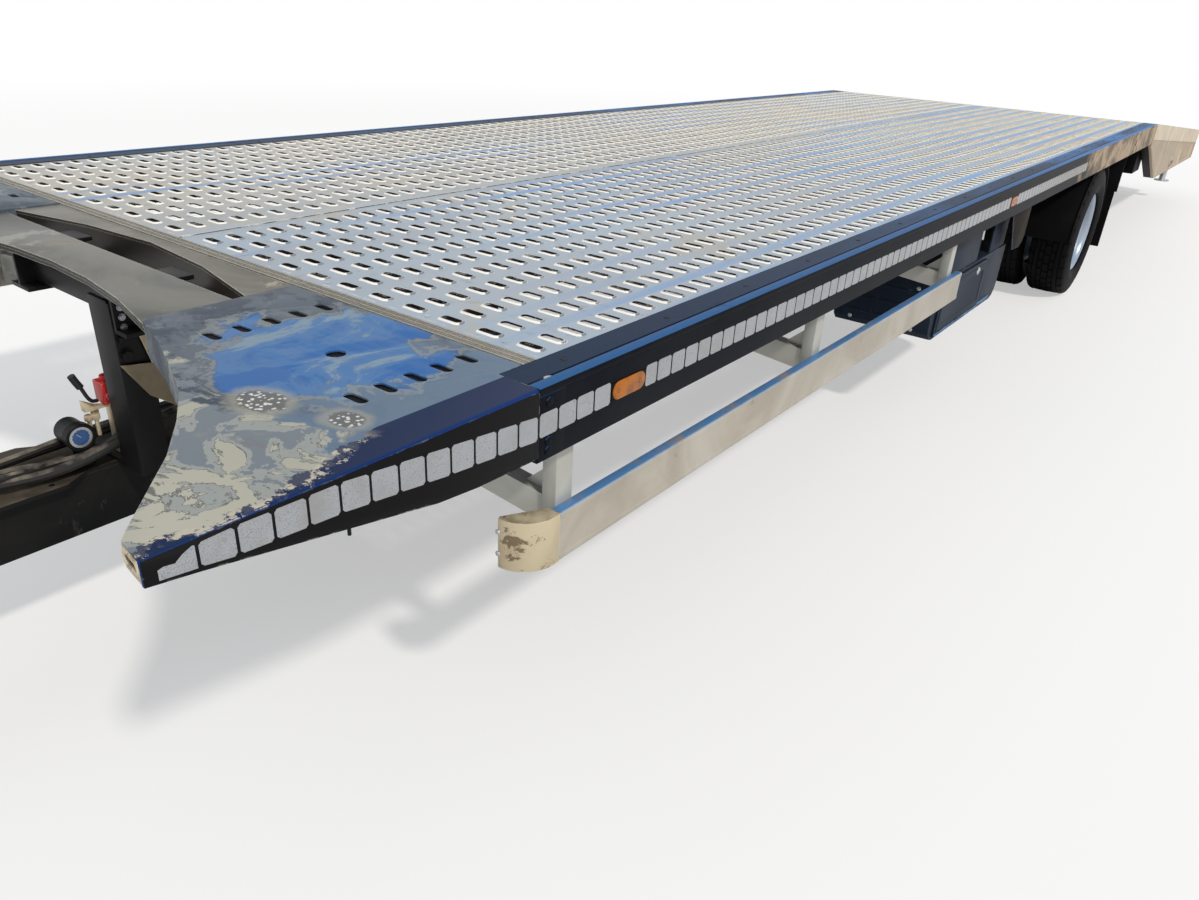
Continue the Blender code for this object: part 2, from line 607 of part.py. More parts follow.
def hanger():
    """The short front rails and the columns that carry the drawbar."""
    shelf_top = above(DRAWBAR_TOP_DROP) + SHELF_THICK + FIT_GAP
    front, rear = (at(s) for s in HANGER_STATIONS)
    rail_front, rail_rear = (at(s) for s in FRONT_RAIL_STATIONS)
    rail_top = above(NOSE_PLATE_DROP + 0.008) - FIT_GAP
    inner_x, outer_x = HANGER_X
    thick = HANGER_PLATE
    pieces = []
    for side in (-1, 1):
        outline = beam_outline(side * BEAM_X, rail_top, above(FRONT_RAIL_DEPTH))
        pieces.append(plate(outline, "Y", rail_front, rail_rear))
    wide = outer_x + thick
    pieces.append(box((outer_x, front, shelf_top), (wide, rear, above(0.06))))
    pieces.append(box((inner_x, front, shelf_top), (outer_x + OVERLAP, front + thick, above(0.055))))
    pieces.append(box((-BEAM_X, rear - 0.03, above(0.11)), (BEAM_X, rear - 0.02, above(0.06))))
    base_top, narrow = shelf_top + 0.012, -DRAWBAR_HALF_WIDTH
    behind, last = (at(s) for s in HANGER_REAR_STATIONS)
    pieces.append(box((narrow, front, shelf_top), (wide, rear, base_top)))
    pieces.append(box((narrow, rear - OVERLAP, shelf_top), (narrow + 0.04, last, base_top)))
    pieces.append(box((-wide, behind, shelf_top), (narrow + 0.02, last, base_top)))
    pieces.append(box((-wide, behind, shelf_top), (-outer_x, last, BEAM_BOTTOM - FIT_GAP)))
    high = CROSS_UNDER - FIT_GAP
    for side in (-1, 1):
        x = sorted((side * (BEAM_X - 0.03), side * (BEAM_X + 0.03)))
        pieces.append(box((x[0], rail_rear - OVERLAP, high - 0.015), (x[1], at(-FIT_GAP), high)))
    node("drawbar_hanger", joined(pieces), "frame_steel")
    face_x, middle, z = DRAWBAR_HALF_WIDTH, at(-0.355), above(0.396)
    base = box((0.045, at(-0.42), shelf_top), (0.085, at(-0.335), shelf_top + 0.012))
    stem = box((0.055, middle - 0.012, shelf_top + 0.011), (0.075, middle + 0.012, z))
    canister = rod((0.025, middle, z), (face_x, middle, z), 0.034)
    node("pressure_gauge", joined([base, stem, canister]), "frame_steel")
    base_top += FIT_GAP
    block = box((0.055, at(-0.289), above(0.335)), (face_x, at(-0.244), above(0.280)))
    pillar = box((0.065, at(-0.275), base_top), (0.09, at(-0.255), above(0.33)))
    node("brake_valve", joined([block, pillar]), "valve_red")


def jack():
    x, y = JACK_X, at(JACK_STATION)
    z_high, z_low = (above(drop) for drop in JACK_TUBE_DROPS)
    tube = rod((x, y, z_low), (x, y, z_high), JACK_TUBE_RADIUS)
    z = above(DRAWBAR_TOP_DROP + DRAWBAR_DEPTH / 2)
    lug = box((x, y - 0.05, z - 0.05), (-DRAWBAR_HALF_WIDTH - FIT_GAP, y + 0.05, z + 0.05))
    hole = rod((x, y, z_low - 0.1), (x, y, z_high - JACK_CAP), JACK_LEG_RADIUS + SLIDE_GAP)
    node("jack_tube", joined([joined([tube, lug]), hole], "DIFFERENCE"), "galvanised")
    leg = rod((x, y, 0), (x, y, z_low + JACK_LEG_INSIDE), JACK_LEG_RADIUS)
    foot = rod((x, y, 0), (x, y, JACK_FOOT_THICK), JACK_FOOT_RADIUS)
    node("jack_leg", joined([leg, foot]), "galvanised", (x, y, 0))


def wheels():
    y, z = at(AXLE_STATION), TYRE_RADIUS
    centre = (TWIN_MID_X, y, z)
    bore = SPINDLE_RADIUS + 2 * FIT_GAP
    hub_profile = [
        (HUB_INNER_X, bore),
        (SPINDLE_END_X + MOVE_GAP, bore),
        (SPINDLE_END_X + MOVE_GAP, 0.0),
        (HUB_OUTER_X, 0.0),
        (HUB_OUTER_X, HUB_RADIUS * 0.62),
        (HUB_OUTER_X - 0.045, HUB_RADIUS * 0.7),
        (HUB_OUTER_X - 0.050, HUB_RADIUS),
        (HUB_INNER_X + 0.21, HUB_RADIUS),
        (HUB_INNER_X + 0.19, DRUM_RADIUS),
        (HUB_INNER_X, DRUM_RADIUS),
    ]
    both_sides("wheel_hub", turned(hub_profile, ROUND_STEPS, (0, y, z)), "frame_steel", centre, True)
    seat = RIM_SEAT_RADIUS
    half = [  # distance from the middle of the pair, radius
        (0.011, HUB_RADIUS + FIT_GAP),
        (0.011, seat - 0.057),
        (0.035, seat - 0.034),
        (0.160, seat - 0.030),
        (0.205, seat - 0.010),
        (0.2365, seat + RIM_LIP - 0.002),
        (0.2290, seat + RIM_LIP),
        (0.2255, seat),
        (0.0545, seat),
        (0.0510, seat + RIM_LIP),
        (0.0435, seat + RIM_LIP - 0.002),
        (0.0, seat - 0.050),
    ]
    profile = half + [(-m, r) for m, r in reversed(half[:-1])]
    rims = turned([(TWIN_MID_X + m, r) for m, r in profile], ROUND_STEPS, (0, y, z))
    both_sides("twin_rims", rims, "aluminium", centre, True)
    seat = RIM_SEAT_RADIUS + FIT_GAP
    wide = TYRE_WIDTH / 2
    half = [  # distance from the tyre's middle, radius
        (wide - 0.0375, seat),
        (wide - 0.0375, RIM_SEAT_RADIUS + RIM_LIP + 0.0015),
        (wide - 0.015, RIM_SEAT_RADIUS + 0.035),
        (wide, RIM_SEAT_RADIUS + TYRE_SECTION * 0.48),
        (wide - 0.0125, TYRE_RADIUS - 0.0165),
        (wide - 0.0285, TYRE_RADIUS),
    ]
    inner = [
        (wide - 0.0545, seat),
        (wide - 0.0185, RIM_SEAT_RADIUS + TYRE_SECTION * 0.45),
        (wide - 0.0445, TYRE_RADIUS - 0.0185),
    ]
    profile = half + [(-m, r) for m, r in reversed(half)] + [(-m, r) for m, r in inner]
    profile += [(m, r) for m, r in reversed(inner)]
    for name, side in (("tyre_outer", 1), ("tyre_inner", -1)):
        middle = TWIN_MID_X + side * TWIN_SPACING / 2
        tyre = turned([(middle + m, r) for m, r in profile], ROUND_STEPS, (0, y, z))
        both_sides(name, tyre, "tyre", centre, True)


def suspension():
    y, z = at(AXLE_STATION), TYRE_RADIUS
    tube_end = HUB_INNER_X - MOVE_GAP
    pieces = [
        rod((-tube_end, y, z), (tube_end, y, z), AXLE_TUBE_RADIUS),
        rod((-SPINDLE_END_X, y, z), (SPINDLE_END_X, y, z), SPINDLE_RADIUS),
    ]
    front = ARM_FRONT + FIT_GAP
    arm = (  # station and height from the axle
        (front, -0.015),
        (0, -0.055),
        (ARM_REAR, -0.005),
        (ARM_REAR, SPRING_SEAT),
        (SPRING_STATION - SPRING_RADIUS - 0.02, SPRING_SEAT),
        (0, 0.080),
        (front, 0.065),
    )
    for side in (-1, 1):
        outline = [(y + s, z + h) for s, h in arm]
        pieces.append(plate(outline, "X", side * ARM_X - ARM_HALF_WIDTH, side * ARM_X + ARM_HALF_WIDTH))
    node("axle_beam", joined(pieces), "frame_steel")
    y += SPRING_STATION
    spring = rod((ARM_X, y, z + SPRING_SEAT + FIT_GAP), (ARM_X, y, BEAM_BOTTOM - FIT_GAP), SPRING_RADIUS, 32)
    both_sides("air_spring", spring, "air_spring_rubber", smooth=True)
    front, rear, radius = at(3.45), at(4.15), 0.11
    high = BEAM_BOTTOM - FIT_GAP
    z = high - 0.09
    tank = rod((0.0, front, z), (0.0, rear, z), radius, 28)
    reach = BEAM_X + 0.03
    places = (front + 0.12, rear - 0.12)
    saddles = [box((-reach, y - 0.02, high - 0.03), (reach, y + 0.02, high)) for y in places]
    node("air_tank", joined([tank, *saddles]), "frame_steel")


def mudguards():
    y, z = at(AXLE_STATION), TYRE_RADIUS
    steps = 20
    inner = TYRE_RADIUS + MUDGUARD_CLEARANCE
    outer = inner + MUDGUARD_WALL
    angles = [math.pi * step / steps for step in range(steps + 1)]
    outline = [(y + outer * math.cos(a), z + outer * math.sin(a)) for a in angles]
    outline += [(y + inner * math.cos(a), z + inner * math.sin(a)) for a in reversed(angles)]
    low_x, high_x = MUDGUARD_X
    guard = plate(outline, "X", low_x, high_x)
    under = CROSS_UNDER - FIT_GAP
    posts = []
    for x in (low_x + 0.11, high_x - 0.11):
        posts.append(box((x - 0.03, y - 0.02, z + outer - 0.002), (x + 0.03, y + 0.02, under)))
    both_sides("mudguard", joined([guard, *posts]), "black_plastic")
    start = at(FLAP_STATION) + FIT_GAP
    outer_x = HALF_WIDTH - FLAP_INSET
    board = box((low_x, start, above(FLAP_BOARD_BOTTOM)), (outer_x, start + FLAP_THICK, CROSS_UNDER + 0.05))
    flap = box(
        (low_x + 0.01, start + 0.002, above(FLAP_BOTTOM)),
        (outer_x - 0.012, start + FLAP_THICK - 0.002, above(FLAP_BOARD_BOTTOM - 0.01)),
    )
    both_sides("mud_flap", joined([board, flap]), "black_plastic")


def side_guards():
    outer, thick = HALF_WIDTH - GUARD_INSET, GUARD_THICK
    top, bottom = above(GUARD_TOP_DROP), above(GUARD_TOP_DROP + GUARD_HEIGHT)
    curl = GUARD_CURL_RADIUS
    centre = (outer - curl, at(GUARD_START))
    angles = [math.radians(a) for a in (0, 15, 30, 45, 60, 75, 90)]
    less = curl - thick
    outline = [(outer, at(GUARD_END))]
    outline += [(centre[0] + curl * math.cos(a), centre[1] - curl * math.sin(a)) for a in angles]
    outline += [(centre[0] + less * math.cos(a), centre[1] - less * math.sin(a)) for a in reversed(angles)]
    outline.append((outer - thick, at(GUARD_END)))
    pieces = [plate(outline, "Z", bottom, top)]
    inner = outer - thick + OVERLAP
    beam_side = BEAM_X + BEAM_FLANGE / 2 + FIT_GAP
    arm_low = BEAM_BOTTOM + 0.005
    for station in POST_STATIONS:
        low = (inner - POST_DEPTH, at(station) - POST_WIDTH / 2, bottom + 0.02)
        high = (inner, at(station) + POST_WIDTH / 2, above(RAVE_DEPTH + FIT_GAP))
        pieces.append(box(low, high))
        start = inner - POST_DEPTH / 2
        arm = [(start, top - ARM_DEPTH + 0.01), (start, top + 0.01)]
        arm += [(beam_side, arm_low + ARM_DEPTH), (beam_side, arm_low)]
        pieces.append(plate(arm, "Y", at(station) - 0.02, at(station) + 0.02))
    both_sides("side_guard", joined(pieces), "aluminium")


def toolboxes():
    low_x, high_x = BOX_OUTER_X - BOX_WIDTH, BOX_OUTER_X
    front, rear = (at(s) for s in BOX_STATIONS)
    high, low = (above(d) for d in BOX_DROPS)
    c, wall = BOX_CORNER, BOX_WALL
    bend = [math.radians(a) for a in (180, 210, 240, 270)]

    def outline(inset):
        radius = c - inset
        points = [(rear - inset, high - inset), (front + inset, high - inset)]
        points += [(front + c + radius * math.cos(a), low + c + radius * math.sin(a)) for a in bend]
        points += [(rear - c - radius * math.cos(a), low + c + radius * math.sin(a)) for a in reversed(bend)]
        return points

    shell = plate(outline(0), "X", low_x, high_x)
    room = plate(outline(wall), "X", low_x + wall, high_x + 0.01)
    body = joined([shell, room], "DIFFERENCE")
    door_front, door_rear = (at(s) for s in DOOR_STATIONS)
    door_high, door_low = (above(d) for d in DOOR_DROPS)
    corners = [(door_front, door_low), (door_rear, door_low)]
    corners += [(door_rear, door_high), (door_front, door_high)]
    face = plate(outline(0), "X", high_x - wall, high_x, [corners])
    hangers = [
        box((x - 0.006, at(start), high - OVERLAP), (x, at(end), CROSS_UNDER - FIT_GAP))
        for start, end in BOX_HANGERS
        for x in (low_x + 0.05, high_x - 0.005)
    ]
    both_sides("toolbox", joined([body, face, *hangers]), "toolbox_plastic")
    start = high_x + FIT_GAP
    door = box(
        (start, door_front - DOOR_LAP, door_low - DOOR_LAP),
        (start + DOOR_THICK, door_rear + DOOR_LAP, door_high + DOOR_LAP),
    )
    hinge = (start, (door_front + door_rear) / 2, door_low - DOOR_LAP)
    both_sides("toolbox_door", door, "toolbox_plastic", hinge)


for old in list(bpy.data.objects):
    bpy.data.objects.remove(old)
TRAILER = bpy.data.collections.new("car transporter trailer")
HELPERS = bpy.data.collections.new("helpers")
for group in (TRAILER, HELPERS):
    bpy.context.scene.collection.children.link(group)
deck()
front_wings()
nose()
frame()
tail()
ramps()
drawbar()
hanger()
jack()
wheels()
suspension()
mudguards()
side_guards()
toolboxes()
bpy.data.collections.remove(HELPERS)
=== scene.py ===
"""The looks of a car transporter trailer: a slotted deck on one axle of twin wheels, behind a drawbar."""

import json
import logging
import math
from collections.abc import Callable, Iterable, Sequence
from dataclasses import dataclass
from enum import Enum

import bmesh
import bpy
from mathutils import Matrix, Vector

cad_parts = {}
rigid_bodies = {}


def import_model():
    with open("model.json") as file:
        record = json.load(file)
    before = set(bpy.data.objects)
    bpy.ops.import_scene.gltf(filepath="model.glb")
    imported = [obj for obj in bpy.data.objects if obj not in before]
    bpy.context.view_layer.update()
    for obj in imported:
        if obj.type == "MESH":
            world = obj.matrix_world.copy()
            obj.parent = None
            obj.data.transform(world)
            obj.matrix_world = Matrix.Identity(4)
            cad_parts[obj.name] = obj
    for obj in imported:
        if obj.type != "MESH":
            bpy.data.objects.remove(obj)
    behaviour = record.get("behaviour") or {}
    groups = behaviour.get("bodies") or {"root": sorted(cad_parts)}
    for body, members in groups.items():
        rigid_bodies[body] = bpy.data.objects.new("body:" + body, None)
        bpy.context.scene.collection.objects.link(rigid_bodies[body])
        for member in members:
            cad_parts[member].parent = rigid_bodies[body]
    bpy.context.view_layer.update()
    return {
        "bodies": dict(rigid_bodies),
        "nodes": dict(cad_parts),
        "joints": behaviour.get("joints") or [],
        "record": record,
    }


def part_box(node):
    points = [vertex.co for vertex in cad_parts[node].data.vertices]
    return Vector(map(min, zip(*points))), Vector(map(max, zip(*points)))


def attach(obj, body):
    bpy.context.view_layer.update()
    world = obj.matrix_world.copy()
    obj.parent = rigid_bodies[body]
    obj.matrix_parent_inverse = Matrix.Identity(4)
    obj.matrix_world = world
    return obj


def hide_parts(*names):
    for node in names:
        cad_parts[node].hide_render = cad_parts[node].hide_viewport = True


LOG = logging.getLogger("trailer")

Point = tuple[float, float, float]
Pair = tuple[float, float]
Color = tuple[float, float, float]

DECK_TOP = 0.95
MID_STATION = 4.05
HALF_WIDTH = 1.275
DECK_END = 6.80
TAIL_END = 10.40
TAIL_DROP = 0.27
TAIL_SLOPE = math.atan2(TAIL_DROP, TAIL_END - DECK_END)
AXLE_STATION = 5.20
AXLE_HEIGHT = 0.3945
DRAWBAR_DROP = 0.5635
PHOTO_WIDTH = 1199
MERGE_GAP = 0.00005
NODE_MERGE_GAP = 0.00002


def at(station: float) -> float:
    """The Y place of a station, which runs rearwards from the deck's front edge."""
    return station - MID_STATION


def above(drop: float) -> float:
    """The Z place of a drop below the deck's top."""
    return DECK_TOP - drop


def point(x: float, station: float, drop: float) -> Point:
    """The place of a station and a drop at some X place."""
    return (x, at(station), above(drop))


class Axis(Enum):
    """The axes of the model."""

    X = Vector((1, 0, 0))
    Y = Vector((0, 1, 0))
    Z = Vector((0, 0, 1))


# Modelling


def only(obj: bpy.types.Object) -> bpy.types.Object:
    """Selects one object alone and makes it active."""
    bpy.ops.object.select_all(action="DESELECT")
    obj.select_set(True)
    bpy.context.view_layer.objects.active = obj
    return obj


def settled(obj: bpy.types.Object, name: str) -> bpy.types.Object:
    """Names an object and moves its place into its mesh."""
    only(obj)
    obj.name = obj.data.name = name
    bpy.ops.object.transform_apply(location=True, rotation=True, scale=True)
    return obj


def in_edit(obj: bpy.types.Object, work: Callable[[], None]) -> None:
    """Does some work in edit mode with the whole mesh selected at the start.

    Args:
        obj: The mesh object.
        work: What is done.
    """
    only(obj)
    bpy.ops.object.mode_set(mode="EDIT")
    bpy.ops.mesh.select_all(action="SELECT")
    work()
    bpy.ops.object.mode_set(mode="OBJECT")


def choose(obj: bpy.types.Object, test: Callable[..., bool], edges: bool = False) -> None:
    """Selects the faces, or edges, that pass a test.

    Args:
        obj: The object, which is in edit mode.
        test: Tells for a face or edge whether it is selected.
        edges: Whether edges are selected instead of faces.
    """
    bpy.ops.mesh.select_all(action="DESELECT")
    bpy.ops.mesh.select_mode(type="EDGE" if edges else "FACE")
    shape = bmesh.from_edit_mesh(obj.data)
    for item in shape.edges if edges else shape.faces:
        item.select_set(test(item))
    bmesh.update_edit_mesh(obj.data)


def linked(name: str, data: bpy.types.ID) -> bpy.types.Object:
    """A new object in the scene."""
    obj = bpy.data.objects.new(name, data)
    bpy.context.collection.objects.link(obj)
    return obj


def meshed(name: str, points: Sequence[Point], edges: Sequence[Sequence[int]] = (),
           faces: Sequence[Sequence[int]] = ()) -> bpy.types.Object:
    """A new object made of points and of edges or faces between them.

    Args:
        name: The piece's name.
        points: The points' places.
        edges: The two points of each edge.
        faces: The points of each face.

    Returns:
        The object.
    """
    mesh = bpy.data.meshes.new(name)
    mesh.from_pydata(points, edges, faces)
    return linked(name, mesh)


def apply_modifier(obj: bpy.types.Object, kind: str, **settings: object) -> None:
    """Adds a modifier and applies it.

    Args:
        obj: The piece.
        kind: The modifier's type.
        **settings: The modifier's own settings.
    """
    only(obj)
    modifier = obj.modifiers.new(kind.lower(), kind)
    for key, value in settings.items():
        setattr(modifier, key, value)
    bpy.ops.object.modifier_apply(modifier=modifier.name)


def bevelled(obj: bpy.types.Object, width: float, segments: int = 2, angle: float = 40) -> bpy.types.Object:
    """Rounds the sharp edges.

    Args:
        obj: The piece.
        width: The width of the rounding.
        segments: The faces across it.
        angle: Edges that turn less than this many degrees stay.

    Returns:
        The same piece.
    """
    limit = math.radians(angle)
    apply_modifier(obj, "BEVEL", width=width, segments=segments, limit_method="ANGLE", angle_limit=limit)
    return obj


def smooth(obj: bpy.types.Object, angle: float) -> bpy.types.Object:
    """Shades the piece smooth but for edges that turn more than the angle."""
    only(obj)
    bpy.ops.object.shade_smooth_by_angle(angle=math.radians(angle))
    return obj


def block(name: str, low: Point, high: Point, bevel: float) -> bpy.types.Object:
    """A block between two corners with rounded edges.

    Args:
        name: The piece's name.
        low: The corner with the least X, Y and Z.
        high: The corner opposite.
        bevel: The rounding of the edges, or 0.

    Returns:
        The block.
    """
    bpy.ops.object.select_all(action="DESELECT")
    middle = [(a + b) / 2 for a, b in zip(low, high)]
    bpy.ops.mesh.primitive_cube_add(size=1, location=middle)
    obj = bpy.context.object
    obj.scale = [abs(b - a) for a, b in zip(low, high)]
    settled(obj, name)
    return bevelled(obj, bevel, 2) if bevel else obj


def bar(name: str, start: Point, end: Point, radius: float, steps: int, bevel: float = 0.0) -> bpy.types.Object:
    """A round bar from one point to another.

    Args:
        name: The piece's name.
        start: The middle of one end.
        end: The middle of the other end.
        radius: The bar's radius.
        steps: The sides of the bar.
        bevel: The rounding of its end edges.

    Returns:
        The bar.
    """
    bpy.ops.object.select_all(action="DESELECT")
    run = Vector(end) - Vector(start)
    turn = run.to_track_quat("Z", "Y").to_euler()
    middle = (Vector(start) + Vector(end)) / 2
    size = {"radius": radius, "depth": run.length}
    bpy.ops.mesh.primitive_cylinder_add(vertices=steps, location=middle, rotation=turn, **size)
    obj = settled(bpy.context.object, name)
    return bevelled(obj, bevel, 2, 60) if bevel else obj


def extruded(name: str, outline: Sequence[Point], run: Point, bevel: float = 0.0) -> bpy.types.Object:
    """A flat outline drawn out along a direction.

    Args:
        name: The piece's name.
        outline: The corners of the flat face.
        run: How far and where the face is drawn out.
        bevel: The rounding of the edges.

    Returns:
        The solid.
    """
    obj = meshed(name, outline, faces=[range(len(outline))])

    def work() -> None:
        """Draws the face out."""
        bpy.ops.mesh.extrude_region_move(TRANSFORM_OT_translate={"value": run})
        bpy.ops.mesh.select_all(action="SELECT")
        bpy.ops.mesh.normals_make_consistent(inside=False)

    in_edit(obj, work)
    return bevelled(obj, bevel, 2, 30) if bevel else obj


def oval(middle: Pair, half: Pair, steps: int = 10) -> list[Pair]:
    """The outline of a slot with round ends.

    Args:
        middle: The slot's middle.
        half: Half its whole length along the first axis, and half its width.
        steps: The steps of each round end.

    Returns:
        The outline's points.
    """
    (u, v), (long, wide) = middle, half
    points = []
    for side in (1, -1):
        for k in range(steps + 1):
            a = side * math.pi / 2 - math.pi * k / steps
            points.append((u + side * (long - wide) + wide * math.cos(a), v + wide * math.sin(a)))
    return points


def spun(name: str, profile: Sequence[Pair], centre: Point, steps: int, axis: Axis = Axis.X) -> bpy.types.Object:
    """A profile turned once about an axis through a centre.

    Args:
        name: The piece's name.
        profile: Pairs of place along the axis and radius. A closed loop, or open with both ends on the axis.
        centre: A point on the axis.
        steps: The steps of the full turn.
        axis: The axis of the turn.

    Returns:
        The turned solid.
    """
    along = axis.value
    out = Vector((0, 0, 1)) if axis is not Axis.Z else Vector((1, 0, 0))
    points = [Vector(centre) + along * place + out * radius for place, radius in profile]
    count = len(points)
    closed = profile[0][1] > 0 or profile[-1][1] > 0
    edges = [(i, i + 1) for i in range(count - 1)] + ([(count - 1, 0)] if closed else [])
    obj = meshed(name, points, edges)

    def work() -> None:
        """Turns the profile and closes the seam."""
        bpy.ops.mesh.spin(steps=steps, angle=math.tau, center=centre, axis=along)
        bpy.ops.mesh.select_all(action="SELECT")
        bpy.ops.mesh.remove_doubles(threshold=MERGE_GAP)
        bpy.ops.mesh.normals_make_consistent(inside=False)

    in_edit(obj, work)
    return obj


def tube(name: str, points: Sequence[Point], radius: float) -> bpy.types.Object:
    """A smooth tube with filled ends through a row of points.

    Args:
        name: The piece's name.
        points: The points that the tube's middle follows.
        radius: The tube's radius.

    Returns:
        The tube as a mesh.
    """
    curve = bpy.data.curves.new(name, "CURVE")
    curve.dimensions = "3D"
    curve.bevel_depth = radius
    curve.bevel_resolution = 3
    curve.resolution_u = 6
    curve.use_fill_caps = True
    spline = curve.splines.new("BEZIER")
    spline.bezier_points.add(len(points) - 1)
    for knot, place in zip(spline.bezier_points, points):
        knot.co = place
        knot.handle_left_type = knot.handle_right_type = "AUTO"
    only(linked(name, curve))
    bpy.ops.object.convert(target="MESH")
    obj = bpy.context.object

    def work() -> None:
        """Joins the caps to the tube."""
        bpy.ops.mesh.remove_doubles(threshold=MERGE_GAP)
        bpy.ops.mesh.normals_make_consistent(inside=False)

    in_edit(obj, work)
    return smooth(settled(obj, name), 60)


def together(name: str, parts: Iterable[bpy.types.Object]) -> bpy.types.Object:
    """Joins several meshes into one named piece.

    Args:
        name: The piece's name.
        parts: The meshes.

    Returns:
        The joined piece.
    """
    parts = list(parts)
    bpy.ops.object.select_all(action="DESELECT")
    for part in parts:
        part.select_set(True)
    bpy.context.view_layer.objects.active = parts[0]
    if len(parts) > 1:
        bpy.ops.object.join()
    return settled(bpy.context.object, name)


def cut(obj: bpy.types.Object, *tools: bpy.types.Object) -> bpy.types.Object:
    """Takes the tools' shapes out of a piece and removes the tools.

    Args:
        obj: The piece.
        *tools: Closed meshes.

    Returns:
        The same piece.
    """
    for tool in tools:
        apply_modifier(obj, "BOOLEAN", operation="DIFFERENCE", solver="EXACT", object=tool)
        bpy.data.objects.remove(tool)
    return obj


def copied(obj: bpy.types.Object, name: str, move: Matrix) -> bpy.types.Object:
    """A copy with its own mesh, moved by a matrix.

    Args:
        obj: What is copied.
        name: The copy's name.
        move: The matrix, which may mirror.

    Returns:
        The copy.
    """
    other = obj.copy()
    other.data = obj.data.copy()
    other.name = other.data.name = name
    bpy.context.collection.objects.link(other)
    other.data.transform(move)
    if move.determinant() < 0:
        other.data.flip_normals()
    return other


def stamped(name: str, pattern: bpy.types.Object, places: Iterable[Point], out: Point) -> bpy.types.Object:
    """Copies of one small pattern at several places, joined, and the pattern removed.

    Args:
        name: The name of the joined piece.
        pattern: The pattern, whose foot is at the origin and whose top points along +Z.
        places: Where its foot goes.
        out: Where its top points.

    Returns:
        The joined piece.
    """
    turn = Vector(out).to_track_quat("Z", "Y").to_matrix().to_4x4()
    parts = [copied(pattern, name, Matrix.Translation(place) @ turn) for place in places]
    bpy.data.objects.remove(pattern)
    return together(name, parts)


WASHER_HEIGHT, WASHER_RADIUS = 0.16, 1.15  # Shares of the thread's diameter
HEAD_HEIGHT, HEAD_RADIUS, HEAD_BEVEL = 0.65, 0.92, 0.08


def hex_bolt(size: float, washer: bool = True) -> bpy.types.Object:
    """A hexagon bolt head with a washer, its foot at the origin.

    Args:
        size: The thread's diameter.
        washer: Whether it has a washer.

    Returns:
        The bolt head.
    """
    foot = size * WASHER_HEIGHT if washer else 0
    head = bar("bolt", (0, 0, foot), (0, 0, foot + size * HEAD_HEIGHT), size * HEAD_RADIUS, 6)
    head = bevelled(head, size * HEAD_BEVEL, 1, 60)
    if not washer:
        return head
    return together("bolt", [head, bar("washer", (0, 0, 0), (0, 0, foot), size * WASHER_RADIUS, 16)])


def round_head(radius: float, height: float) -> bpy.types.Object:
    """A domed rivet or screw head with its foot at the origin."""
    profile = [(0.0, radius), (height * 0.45, radius * 0.92), (height * 0.85, radius * 0.6), (height, 0.0)]
    return smooth(spun("head", [(0.0, 0.0), *profile], (0, 0, 0), 10, Axis.Z), 70)


def countersunk(radius: float, height: float) -> bpy.types.Object:
    """A flat screw head with a sunk middle, its foot at the origin.

    Args:
        radius: The head's radius.
        height: Its height over the surface.

    Returns:
        The head.
    """
    head = bar("screw", (0, 0, 0), (0, 0, height), radius, 12)

    def work() -> None:
        """Sinks the middle of the top."""
        choose(head, lambda face: face.normal.z > 0.9)
        bpy.ops.mesh.inset(thickness=radius * 0.55)
        bpy.ops.transform.translate(value=(0, 0, -height * 0.5))

    in_edit(head, work)
    return head


def dressed(node: str, bevel: float) -> bpy.types.Object:
    """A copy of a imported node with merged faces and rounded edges, which stands for the node.

    Args:
        node: The node's name.
        bevel: The rounding of the edges, or 0.

    Returns:
        The copy.
    """
    source = FRAME["nodes"][node]
    obj = copied(source, f"{node}_piece", Matrix.Identity(4))
    obj.data.materials.clear()

    def work() -> None:
        """Merges the solid's triangles into whole faces."""
        bpy.ops.mesh.remove_doubles(threshold=NODE_MERGE_GAP)
        bpy.ops.mesh.dissolve_limited(angle_limit=math.radians(1))

    in_edit(obj, work)
    if bevel:
        bevelled(obj, bevel, 2, 25)
    return obj


FRAME: dict = {}


# Finishes


